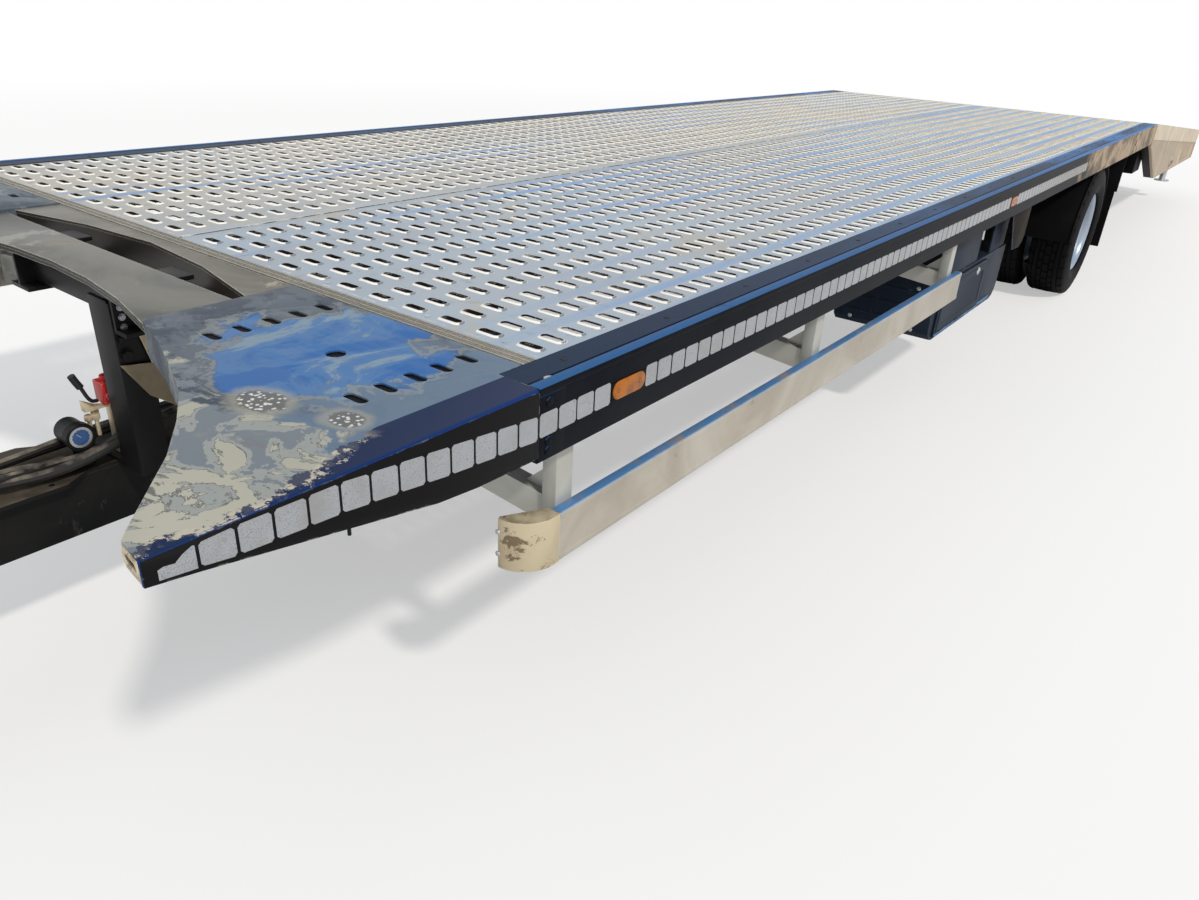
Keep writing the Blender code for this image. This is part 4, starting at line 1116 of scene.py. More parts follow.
# Its blue top and the blue at its worn edges are a painted sky reflection.
ALUMINIUM = FacedFinish("aluminium", (0.38, 0.34, 0.28), (0.50, 0.47, 0.41), dirt=(0.36, 0.28, 0.19), dirt_amount=0.30,
                        wear_and_highlight=0.7, bare_and_highlight=(0.40, 0.58, 0.80), roughness=0.42, metallic=0.2, grain_height=0.06, gloss=0.25,
                        top=(0.11, 0.27, 0.54), stain=(0.33, 0.24, 0.14), stained=0.35, coarse=6.0)
POST = Finish("post_aluminium", (0.44, 0.44, 0.40), (0.54, 0.54, 0.50), dirt=(0.36, 0.34, 0.28), dirt_amount=0.25,
              wear_and_highlight=0.5, bare_and_highlight=(0.76, 0.76, 0.74), roughness=0.40, metallic=0.3, grain_height=0.06, gloss=0.3)
RIM = Finish("rim_aluminium", (0.28, 0.36, 0.48), (0.42, 0.46, 0.52), dirt_amount=0.22, wear_and_highlight=0.4,
             bare_and_highlight=(0.80, 0.82, 0.85), roughness=0.32, metallic=0.55, grain_height=0.04)
CAP = FacedFinish("corner_cap", (0.56, 0.48, 0.33), (0.40, 0.32, 0.20), dirt=(0.16, 0.11, 0.06), dirt_amount=0.5,
                  wear_and_highlight=0.7, bare_and_highlight=(0.80, 0.75, 0.62), roughness=0.50, metallic=0.1, gloss=0.25,
                  stain=(0.13, 0.085, 0.045), stained=0.75, coarse=22.0)
# The light blue at its worn edges is a painted highlight.
BOX_PLASTIC = Finish("toolbox_plastic", (0.012, 0.019, 0.033), (0.022, 0.030, 0.048), dirt=(0.08, 0.08, 0.08),
                     dirt_amount=0.12, wear_and_highlight=0.5, bare_and_highlight=(0.16, 0.25, 0.42), roughness=0.45, gloss=0.05)
# Black plastic, and also painted shade on the wing's channels, the wing tip's inside and the tail's front flange.
BLACK_PLASTIC_AND_SHADE = Finish("black_plastic", (0.0035, 0.0035, 0.0045), (0.007, 0.007, 0.008), dirt=(0.05, 0.046, 0.04),
                       dirt_amount=0.16, wear_and_highlight=0.3, bare_and_highlight=(0.10, 0.12, 0.16), roughness=0.5, gloss=0.05)
SHELF = FacedFinish("shelf_plate", (0.13, 0.105, 0.065), (0.24, 0.20, 0.135), dirt_amount=0.2, wear_and_highlight=0.6,
                    bare_and_highlight=(0.62, 0.56, 0.44), roughness=0.5, gloss=0.15, stained=0.5)
# The blue at its worn edges is a painted highlight.
SHIELD = Finish("wheel_shield", (0.010, 0.007, 0.005), (0.024, 0.017, 0.012), dirt=(0.09, 0.07, 0.05),
                dirt_amount=0.3, wear_and_highlight=0.9, bare_and_highlight=(0.22, 0.34, 0.52), roughness=0.5, gloss=0.02)
TYRE = Finish("tyre", (0.0025, 0.0025, 0.003), (0.005, 0.005, 0.005), dirt=(0.04, 0.035, 0.03), dirt_amount=0.20,
              wear_and_highlight=0.4, bare_and_highlight=(0.05, 0.05, 0.05), roughness=0.62, grain=300, grain_height=0.2, gloss=0.08)
RUBBER = Finish("rubber", (0.012, 0.012, 0.013), (0.022, 0.022, 0.023), dirt_amount=0.20, wear_and_highlight=0.1,
                bare_and_highlight=(0.08, 0.08, 0.08), roughness=0.45, grain=250, grain_height=0.15, gloss=0.25)
HOSE = Finish("hose", (0.008, 0.008, 0.009), (0.024, 0.022, 0.020), dirt=(0.30, 0.26, 0.20), dirt_amount=0.34,
              wear_and_highlight=0.0, roughness=0.30, grain=900, gloss=0.3)
VALVE_RED = Finish("valve_red", (0.46, 0.022, 0.020), (0.30, 0.012, 0.016), dirt_amount=0.15, wear_and_highlight=0.5,
                   bare_and_highlight=(0.72, 0.34, 0.28), roughness=0.35)
BRASS = Finish("brass", (0.58, 0.47, 0.30), (0.66, 0.57, 0.42), dirt_amount=0.25, wear_and_highlight=0.3, roughness=0.4, metallic=0.5)
DIAL = Finish("dial", (0.014, 0.055, 0.17), (0.035, 0.11, 0.28), dirt_amount=0.05, wear_and_highlight=0.0, roughness=0.15)
AMBER = LensFinish("amber_lens", (0.42, 0.125, 0.006))
RED = LensFinish("red_lens", (0.42, 0.012, 0.010))
CLEAR = LensFinish("clear_lens", (0.62, 0.63, 0.64))
# The lips' blue is a painted highlight along the toolbox's lower edge.
BLUE_LIP = Finish("blue_lip", (0.08, 0.16, 0.32), (0.15, 0.27, 0.50), dirt_amount=0.1, wear_and_highlight=0.6,
                  bare_and_highlight=(0.40, 0.50, 0.62), roughness=0.4, gloss=0.1)
TAPE = TapeFinish("tape")


# Placing


class Slot(Enum):
    """The record's material slots."""

    GALVANISED = "galvanised"
    FRAME = "frame_steel"
    RAVE = "rave_paint"
    TAIL = "tail_paint"
    ALUMINIUM = "aluminium"
    BOX = "toolbox_plastic"
    TYRE = "tyre"
    BLACK = "black_plastic"
    LENS = "red_lens"
    RED = "valve_red"
    SPRING = "air_spring_rubber"


def show(obj: bpy.types.Object, finish: Look, body: str = "trailer", nodes: Sequence[str] = (),
         angle: float = 35) -> bpy.types.Object:
    """Gives a piece its finish, its body and the nodes that it stands for.

    Args:
        obj: The piece.
        finish: The finish of its surface.
        body: The body that carries it.
        nodes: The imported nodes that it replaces.
        angle: Edges that turn more than this many degrees stay sharp.

    Returns:
        The piece.
    """
    obj.data.materials.clear()
    obj.data.materials.append(finish.material())
    smooth(obj, angle)
    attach(obj, body)
    if nodes:
        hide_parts(*nodes)
    return obj


def pair(obj: bpy.types.Object, finish: Look, body: str = "trailer", nodes: Sequence[str] = (),
         angle: float = 35) -> None:
    """Shows a piece of the left side and its mirror image on the right side.

    Args:
        obj: The left piece, with the word left in its name.
        finish: The finish of both.
        body: The left body, or one that carries both.
        nodes: The left nodes that the left piece replaces.
        angle: Edges that turn more than this many degrees stay sharp.
    """
    name = obj.name.replace("left", "right")
    other = copied(obj, name, Matrix.Scale(-1, 4, Axis.X.value))
    show(obj, finish, body, nodes, angle)
    nodes = [node.replace("left", "right") for node in nodes]
    show(other, finish, body.replace("left", "right"), nodes, angle)


@dataclass
class SlottedDeck:
    """The deck's two sheets and the tail's floor, with rows of pressed slots.

    Attributes:
        first_row: The X place of the row nearest the middle.
        row_pitch: From row to row.
        rows: The rows of one half.
        first_slot: The station of the first slot.
        slot_pitch: From slot to slot along a row.
        slots: The slots of one row on the deck.
        tail_slots: The slots of one row on the tail.
        length: The slot's length across the deck.
        width: The slot's width.
        crest: The width of the flat top of the raised rim.
        rim: The width of the whole rim.
        flat_drop: The sheet's flat surface under the rims' tops.
        under_drop: The sheet's underside.
        reach: The X place of the sheet's outer edge.
    """

    first_row: float = 0.0875
    row_pitch: float = 0.104
    rows: int = 11
    first_slot: float = 0.045
    slot_pitch: float = 0.060
    slots: int = 113
    tail_slots: int = 59
    length: float = 0.052
    width: float = 0.0185
    crest: float = 0.0018
    rim: float = 0.0055
    flat_drop: float = 0.0032
    under_drop: float = 0.0041
    reach: float = 1.1797

    def cell(self) -> bpy.types.Object:
        """One slot with its rim and the flat sheet round it, centred on the origin."""
        bpy.ops.object.select_all(action="DESELECT")
        turn = (0, 0, math.radians(15))
        bpy.ops.mesh.primitive_circle_add(vertices=12, radius=self.width / 2, rotation=turn)
        obj = settled(bpy.context.object, "cell")
        for vertex in obj.data.vertices:
            vertex.co.x += math.copysign((self.length - self.width) / 2, vertex.co.x)

        def wider(before: float, after: float, rise: float) -> None:
            """Draws the edge out from one distance off the slot's wall to another, and up."""
            long, wide = self.length / 2, self.width / 2
            bpy.ops.mesh.extrude_edges_move()
            grow = ((long + after) / (long + before), (wide + after) / (wide + before), 1)
            bpy.ops.transform.resize(value=grow, center_override=(0, 0, 0))
            bpy.ops.transform.translate(value=(0, 0, rise))

        def work() -> None:
            """Draws the wall, the rim's top and its slope."""
            bpy.ops.transform.translate(value=(0, 0, -self.under_drop))
            wider(0.0, 0.0, self.under_drop)
            wider(0.0, self.crest, 0.0)
            wider(self.crest, self.rim, -self.flat_drop)

        in_edit(obj, work)
        x, y = self.row_pitch / 2, self.slot_pitch / 2
        corners = ((-x, -y), (x, -y), (x, y), (-x, y))
        frames = []
        for drop in (self.flat_drop, self.under_drop):
            frames.append(meshed("frame", [(*corner, -drop) for corner in corners], [(0, 1), (1, 2), (2, 3), (3, 0)]))
        obj = together("cell", [obj, *frames])

        def close() -> None:
            """Fills the sheet's upper and lower face between the slot and the frame."""
            for drop in (self.flat_drop, self.under_drop):
                choose(obj, lambda edge: len(edge.link_faces) < 2
                       and all(abs(v.co.z + drop) < 0.0002 for v in edge.verts), edges=True)
                bpy.ops.mesh.fill(use_beauty=True)
            bpy.ops.mesh.select_all(action="SELECT")
            bpy.ops.mesh.normals_make_consistent(inside=False)

        in_edit(obj, close)
        return obj

    def field(self, name: str, rows: int, slots: int, first: Pair) -> bpy.types.Object:
        """A field of slots.

        Args:
            name: The piece's name.
            rows: Rows across.
            slots: Slots along each row.
            first: The X and Y place of the first slot.

        Returns:
            The joined sheet, with its rims' tops at the height zero.
        """
        obj = self.cell()
        for count, step in ((rows, (self.row_pitch, 0, 0)), (slots, (0, self.slot_pitch, 0))):
            apply_modifier(obj, "ARRAY", count=count, use_relative_offset=False, use_constant_offset=True,
                           constant_offset_displace=step, use_merge_vertices=True, merge_threshold=MERGE_GAP)
        obj.location = (*first, 0)
        return settled(obj, name)

    def margin(self, low: Pair, high: Pair) -> bpy.types.Object:
        """A plain strip of the sheet beside the slots."""
        return block("margin", (*low, -self.under_drop), (*high, -self.flat_drop), 0)

    def build(self) -> None:
        """Builds the two deck sheets and the tail's floor."""
        low_x, high_x = self.first_row - self.row_pitch / 2, self.reach
        first, front, last = at(self.first_slot - self.slot_pitch / 2), at(0.0003), at(DECK_END - 0.0003)
        end = first + self.slots * self.slot_pitch
        field = self.field("deck_sheet_left_slots", self.rows, self.slots, (self.first_row, at(self.first_slot)))
        strips = [
            self.margin((0.0002, front), (low_x, last)),
            self.margin((low_x, front), (high_x, first)),
            self.margin((low_x, end), (high_x, last)),
        ]
        lip = block("lip", (0.0002, front, -self.flat_drop - 0.0006), (0.006, last, -0.0012), 0.0008)
        sheet = together("deck_sheet_left_slots", [field, *strips, lip])
        sheet.data.transform(Matrix.Translation((0, 0, DECK_TOP)))
        pair(sheet, GALVANISED, nodes=["deck_sheet_left"], angle=30)
        self.tail()
        self.screws()

    def tail(self) -> None:
        """The sloping floor of the tail."""
        start, end = 0.0003, math.hypot(TAIL_END - DECK_END, TAIL_DROP) - 0.0004
        field = self.field("tail_floor_slots", self.rows, self.tail_slots, (self.first_row, self.first_slot))
        other = copied(field, "tail_floor_far", Matrix.Scale(-1, 4, Axis.X.value))
        inner = self.first_row - self.row_pitch / 2
        first = self.first_slot - self.slot_pitch / 2
        last = self.first_slot + (self.tail_slots - 0.5) * self.slot_pitch
        strips = [self.margin((-inner, start), (inner, end)),
                  self.margin((inner, start), (self.reach, first)),
                  self.margin((-self.reach, start), (-inner, first)),
                  self.margin((inner, last), (self.reach, end)),
                  self.margin((-self.reach, last), (-inner, end))]
        floor = together("tail_floor_slots", [field, other, *strips])
        turn = Matrix.Rotation(-TAIL_SLOPE, 4, "X")
        floor.data.transform(Matrix.Translation((0, at(DECK_END), DECK_TOP)) @ turn)
        show(floor, GALVANISED, nodes=["tail_floor"], angle=30)

    def screws(self) -> None:
        """The flat screws along the front edge of the sheets."""
        rows = [self.first_row + (k + 0.5) * self.row_pitch for k in (1, 4, 7, 9)]
        stations = (0.03, 1.165, 2.50, 3.26, 4.40, 6.00)
        places = [point(x, s, self.flat_drop) for x in rows for s in stations]
        heads = stamped("deck_screws_left", countersunk(0.0065, 0.0012), places, (0, 0, 1))
        pair(heads, ZINC)


@dataclass
class SideRave:
    """The rave along each side, with its tape, lamps, screws and front bracket.

    Attributes:
        face: The X place of its outer face.
        profile: Its section as pairs of X place and drop.
        screw_x: The X place of its row of screws.
        screw_pitch: From screw to screw.
        screws: The number of screws.
        tape_pitch: From one field of tape to the next.
        tape_gap: Between two fields.
        tape_fields: The number of fields, with those that the lamps cover.
        tape_least: The length of the shortest field beside a lamp.
        tape_drops: The tape's upper and lower edge.
        lamps: The stations of the marker lamps' ends.
    """

    face: float = 1.272
    profile: tuple[Pair, ...] = (
        (1.1800, 0.0010), (1.2420, 0.0010), (1.2440, 0.0030), (1.2470, 0.0030), (1.2490, 0.0004), (1.2500, 0.0),
        (1.2712, 0.0), (1.2738, 0.0012), (1.2750, 0.0040), (1.2750, 0.0110), (1.2738, 0.0140), (1.2720, 0.0155),
        (1.2720, 0.1372), (1.2704, 0.1400), (1.2400, 0.1400), (1.2400, 0.1360), (1.2690, 0.1360),
        (1.2690, 0.0040), (1.1800, 0.0040),
    )
    screw_x: float = 1.212
    screw_pitch: float = 0.335
    screws: int = 21
    tape_pitch: float = 0.0509
    tape_gap: float = 0.0044
    tape_fields: int = 88
    tape_least: float = 0.012
    tape_drops: Pair = (0.048, 0.092)
    lamps: tuple[Pair, ...] = ((0.105, 0.215), (2.855, 2.965), (5.96, 6.07))

    def build(self) -> None:
        """Builds the rave and all that is fixed to it."""
        outline = [point(x, -0.10, drop) for x, drop in self.profile]
        rave = extruded("side_rave_left_profile", outline, (0, 6.90, 0))
        pair(rave, NAVY, nodes=["side_rave_left"], angle=30)
        places = [point(self.screw_x, 0.036 + k * self.screw_pitch, 0.001) for k in range(self.screws)]
        screws = stamped("rave_screws_left", countersunk(0.0062, 0.0009), places, (0, 0, 1))
        pair(screws, FRAME_PAINT)
        self.tape()
        self.markers()
        self.bracket()

    def tape(self) -> None:
        """The fields of white tape between the lamps."""
        fields = []
        for k in range(self.tape_fields):
            start = -0.0993 + k * self.tape_pitch + 0.0018
            end = start + self.tape_pitch - self.tape_gap
            for low, high in self.lamps:
                if low + 0.006 < end and start < high + 0.002:
                    start = max(start, high + 0.002)
            if end - start < self.tape_least:
                continue
            thick = 0.0013 if start < -0.03 else 0.0005
            fields.append(tape_field([(start, *self.tape_drops), (end, *self.tape_drops)], self.face, thick))
        pair(together("rave_tape_left", fields), TAPE, angle=20)

    def markers(self) -> None:
        """The amber marker lamps, each with a dark base and two screws."""
        lenses, bases, screws = [], [], []
        for start, end in self.lamps:
            low, high = point(self.face - 0.0005, start, 0.089), point(self.face + 0.0010, end, 0.053)
            bases.append(block("base", low, high, 0.0006))
            half = ((end - start) / 2 - 0.003, 0.0185)
            outline = [(self.face, y, z) for y, z in oval((at((start + end) / 2), above(0.0705)), half)]
            lens = extruded("lens", outline, (HALF_WIDTH - 0.0002 - self.face, 0, 0), 0.0012)
            lenses.append(lens)
            screws += [point(HALF_WIDTH - 0.0006, s, 0.071) for s in (start + 0.020, end - 0.020)]
        pair(together("marker_bases_left", bases), BLACK_PLASTIC_AND_SHADE)
        pair(together("marker_lenses_left", lenses), AMBER)
        heads = stamped("marker_screws_left", countersunk(0.0045, 0.0005), screws, (1, 0, 0))
        pair(heads, FRAME_PAINT)

    def bracket(self) -> None:
        """The front end's joint with the wing and its two bolts."""
        plate = block("rave_bracket_left", point(self.face - 0.0005, -0.0995, 0.1385),
                      point(self.face + 0.0009, -0.030, 0.0165), 0.0006)
        pair(plate, NAVY)
        places = [point(self.face + 0.0008, -0.074, drop) for drop in (0.031, 0.104, 0.122)]
        head = bar("bolt", (0, 0, 0), (0, 0, 0.0021), 0.0095, 6, 0.0006)
        pair(stamped("rave_bolts_left", head, places, (1, 0, 0)), NAVY)
        rest = block("rave_end_left", point(1.1815, -0.0985, 0.0042), point(1.2680, -0.0375, 0.0012), 0.0008)
        pair(rest, NAVY)
        washer = bar("rave_washer_left", point(1.2520, -0.050, 0.0040), point(1.2520, -0.050, 0.0002), 0.0105, 20,
                     0.0012)
        pair(washer, ZINC)


def tape_field(ends: Sequence[tuple[float, float, float]], face: float, thick: float) -> bpy.types.Object:
    """One field of tape with cut corners.

    Args:
        ends: The station, upper drop and lower drop of its two ends.
        face: The X place of the surface it is on.
        thick: Its thickness.

    Returns:
        The field.
    """
    (start, top_a, low_a), (end, top_b, low_b) = ends
    c = 0.004
    corners = [(start + c, top_a), (end - c, top_b), (end, top_b + c), (end, low_b - c), (end - c, low_b),
               (start + c, low_a), (start, low_a - c), (start, top_a + c)]
    return extruded("field", [point(face - 0.0003, s, d) for s, d in corners], (thick + 0.0003, 0, 0))


@dataclass
class FrontWing:
    """The concave wing at each front corner.

    Attributes:
        tape_line: Station, upper drop and lower drop of the tape along the cheek.
        gap: Half the gap between two fields of tape.
        fields: The number of fields of tape.
        slot_rows: The X places of the two rows of slots.
        slots: The slots' stations.
        slot_half: Half a slot's length and width.
        rounding: The rounding of the outer edge.
        tip: The X place and station of the two ends of the plate that closes the tip.
        tip_drops: Its top and bottom.
        opening: Half the length and width of the opening in it.
        torn: What is left of the first field of tape, as shares of its length and height.
    """

    tape_line: tuple[tuple[float, float, float], ...] = (
        (-0.7525, 0.009, 0.034), (-0.65, 0.007, 0.048), (-0.50, 0.011, 0.057), (-0.30, 0.030, 0.078),
        (-0.1025, 0.048, 0.093),
    )
    gap: float = 0.0022
    fields: int = 13
    slot_rows: Pair = (0.693, 1.091)
    slots: tuple[float, ...] = (-0.327, -0.268, -0.205, -0.146, -0.086)
    slot_half: Pair = (0.0255, 0.0100)
    rounding: float = 0.008
    tip: tuple[Pair, Pair] = ((1.2195, -0.7594), (1.2738, -0.7672))
    tip_drops: Pair = (0.0044, 0.0362)
    opening: Pair = (0.0212, 0.0078)
    torn: tuple[Pair, ...] = ((0.0, 0.46), (0.16, 0.38), (0.45, 0.44), (0.56, 0.30), (0.66, 0.18), (0.84, 0.06),
                              (0.95, 0.0), (1.0, 0.04), (1.0, 1.0), (0.0, 1.0))

    def drops(self, station: float) -> Pair:
        """The tape's upper and lower drop at a station.

        Args:
            station: The station.

        Returns:
            The two drops.
        """
        line = self.tape_line
        for (s0, a0, b0), (s1, a1, b1) in zip(line, line[1:]):
            if station <= s1:
                share = (station - s0) / (s1 - s0)
                return a0 + share * (a1 - a0), b0 + share * (b1 - b0)
        return line[-1][1:]

    def build(self) -> None:
        """Builds the wing, its tape, the channels under its slots and a stud."""
        wing = dressed("front_wing_left", 0)

        def round_edge() -> None:
            """Rounds the edge between the plate and the cheek."""
            choose(wing, lambda edge: all(v.co.x > HALF_WIDTH - 0.001 and v.co.z > DECK_TOP - 0.0005
                                          for v in edge.verts), edges=True)
            bpy.ops.mesh.bevel(offset=self.rounding, segments=4)

        in_edit(wing, round_edge)
        for x in self.slot_rows:
            for station in self.slots:
                ring = oval((x, at(station)), self.slot_half)
                wing = cut(wing, extruded("slot", [(u, v, above(0.0060)) for u, v in ring], (0, 0, 0.01)))
        pair(bevelled(wing, 0.0012, 2, 28), WING, nodes=["front_wing_left"], angle=40)
        # The black channels under the slots and the cup under the hole are painted shade seen through the openings.
        under = [block("channel", point(x - 0.042, -0.355, 0.034), point(x + 0.042, -0.052, 0.0046), 0.004)
                 for x in self.slot_rows]
        hole = (0.916, at(-0.229))
        under.append(bar("cup", (*hole, above(0.034)), (*hole, above(0.0046)), 0.034, 24, 0.003))
        pair(together("wing_channels_left", under), BLACK_PLASTIC_AND_SHADE)
        stud = bar("wing_stud_left", point(1.267, -0.488, 0.082), point(1.267, -0.488, 0.101), 0.0028, 10, 0.0006)
        pair(stud, FRAME_PAINT)
        start, end = self.tape_line[0][0], self.tape_line[-1][0]
        step = (end - start) / self.fields
        fields = [self.torn_field(start + self.gap, start + step - self.gap)]
        for k in range(1, self.fields):
            a, b = start + k * step + self.gap, start + (k + 1) * step - self.gap
            fields.append(tape_field([(a, *self.drops(a)), (b, *self.drops(b))], HALF_WIDTH - 0.0003, 0.0002))
        pair(together("wing_tape_left", fields), TAPE, angle=20)
        self.close_tip()

    def torn_field(self, start: float, end: float) -> bpy.types.Object:
        """The field of tape at the tip, whose upper corner is scraped off.

        Args:
            start: Its front.
            end: Its rear.

        Returns:
            The field.
        """
        outline = []
        for along, down in self.torn:
            station = start + along * (end - start)
            top, low = self.drops(station)
            outline.append((HALF_WIDTH - 0.0006, at(station), above(top + down * (low - top))))
        return extruded("field", outline, (0.0005, 0, 0))

    def close_tip(self) -> None:
        """Builds the plate that closes the tip, the ring around its opening and the dark inside."""
        (x0, s0), (x1, s1) = self.tip
        top, low = self.tip_drops
        corners = [point(x0, s0, low), point(x1, s1, low), point(x1, s1, top), point(x0, s0, top)]
        middle, drop = (x0 + x1) / 2, top + 0.0105
        slope = (s1 - s0) / (x1 - x0)
        ring = [(x, at(s0 + (x - x0) * slope), z) for x, z in oval((middle, above(drop)), self.opening, 6)]
        hole = extruded("hole", [(x, y - 0.01, z) for x, y, z in ring], (0, 0.03, 0))
        plate = cut(extruded("plate", corners, (0, 0.003, 0)), hole)
        rim = tube("rim", [*ring, ring[0]], 0.0030)
        pair(together("wing_tip_left", [plate, rim]), CAP)
        # The black plate behind the opening is painted shade inside the tip.
        inside = extruded("wing_tip_inside_left", [(x, y + 0.0050, z) for x, y, z in corners], (0, 0.002, 0))
        pair(inside, BLACK_PLASTIC_AND_SHADE)


@dataclass
class Nose:
    """The plate between the wings and the cross panel.

    Attributes:
        grooves: The stations of the grooves along the panel's upper trim.
    """

    grooves: tuple[Pair, ...] = ((-0.0315, -0.0200), (-0.0155, -0.0045))

    def build(self) -> None:
        """Dresses both plates and cuts the panel's grooves."""
        show(dressed("front_center_plate", 0.001), STEEL, nodes=["front_center_plate"])
        panel = dressed("front_cross_panel", 0)
        for low, high in self.grooves:
            panel = cut(panel, block("groove", point(-1.2, low, 0.0030), point(1.2, high, -0.01), 0))
        show(bevelled(panel, 0.0009, 2, 25), SILL, nodes=["front_cross_panel"])


@dataclass
class Chassis:
    """The main beams and the two ladders of cross-members.

    Attributes:
        beam_x: The X place of the beam's web.
        bolt_stations: Where the bolts of the cross-members are.
    """

    beam_x: float = 0.23
    bolt_stations: tuple[float, ...] = (0.20, 1.165, 2.50, 3.26, 4.40, 5.20, 6.00)

    def build(self) -> None:
        """Dresses the beams and ladders and adds bolts and lines."""
        pair(dressed("main_beam_left", 0.0015), FRAME_PAINT, nodes=["main_beam_left"])
        show(dressed("deck_ladder", 0.0012), FRAME_PAINT, nodes=["deck_ladder"])
        show(dressed("tail_ladder", 0.0012), FRAME_PAINT, nodes=["tail_ladder"])
        places = [point(self.beam_x + 0.005, s + d, z) for s in self.bolt_stations for d in (-0.03, 0.03)
                  for z in (0.115, 0.165)]
        pair(stamped("beam_bolts_left", hex_bolt(0.010), places, (1, 0, 0)), ZINC)
        for k, x in enumerate((0.10, 0.135, 0.16)):
            line = [point(x, 0.30, 0.115), point(x, 1.2, 0.108), point(x + 0.02, 2.4, 0.112),
                    point(x, 3.3, 0.108), point(x + 0.01, 4.6, 0.110), point(x, 5.1, 0.118)]
            show(tube(f"chassis_line_{k + 1}", line, 0.007), HOSE)


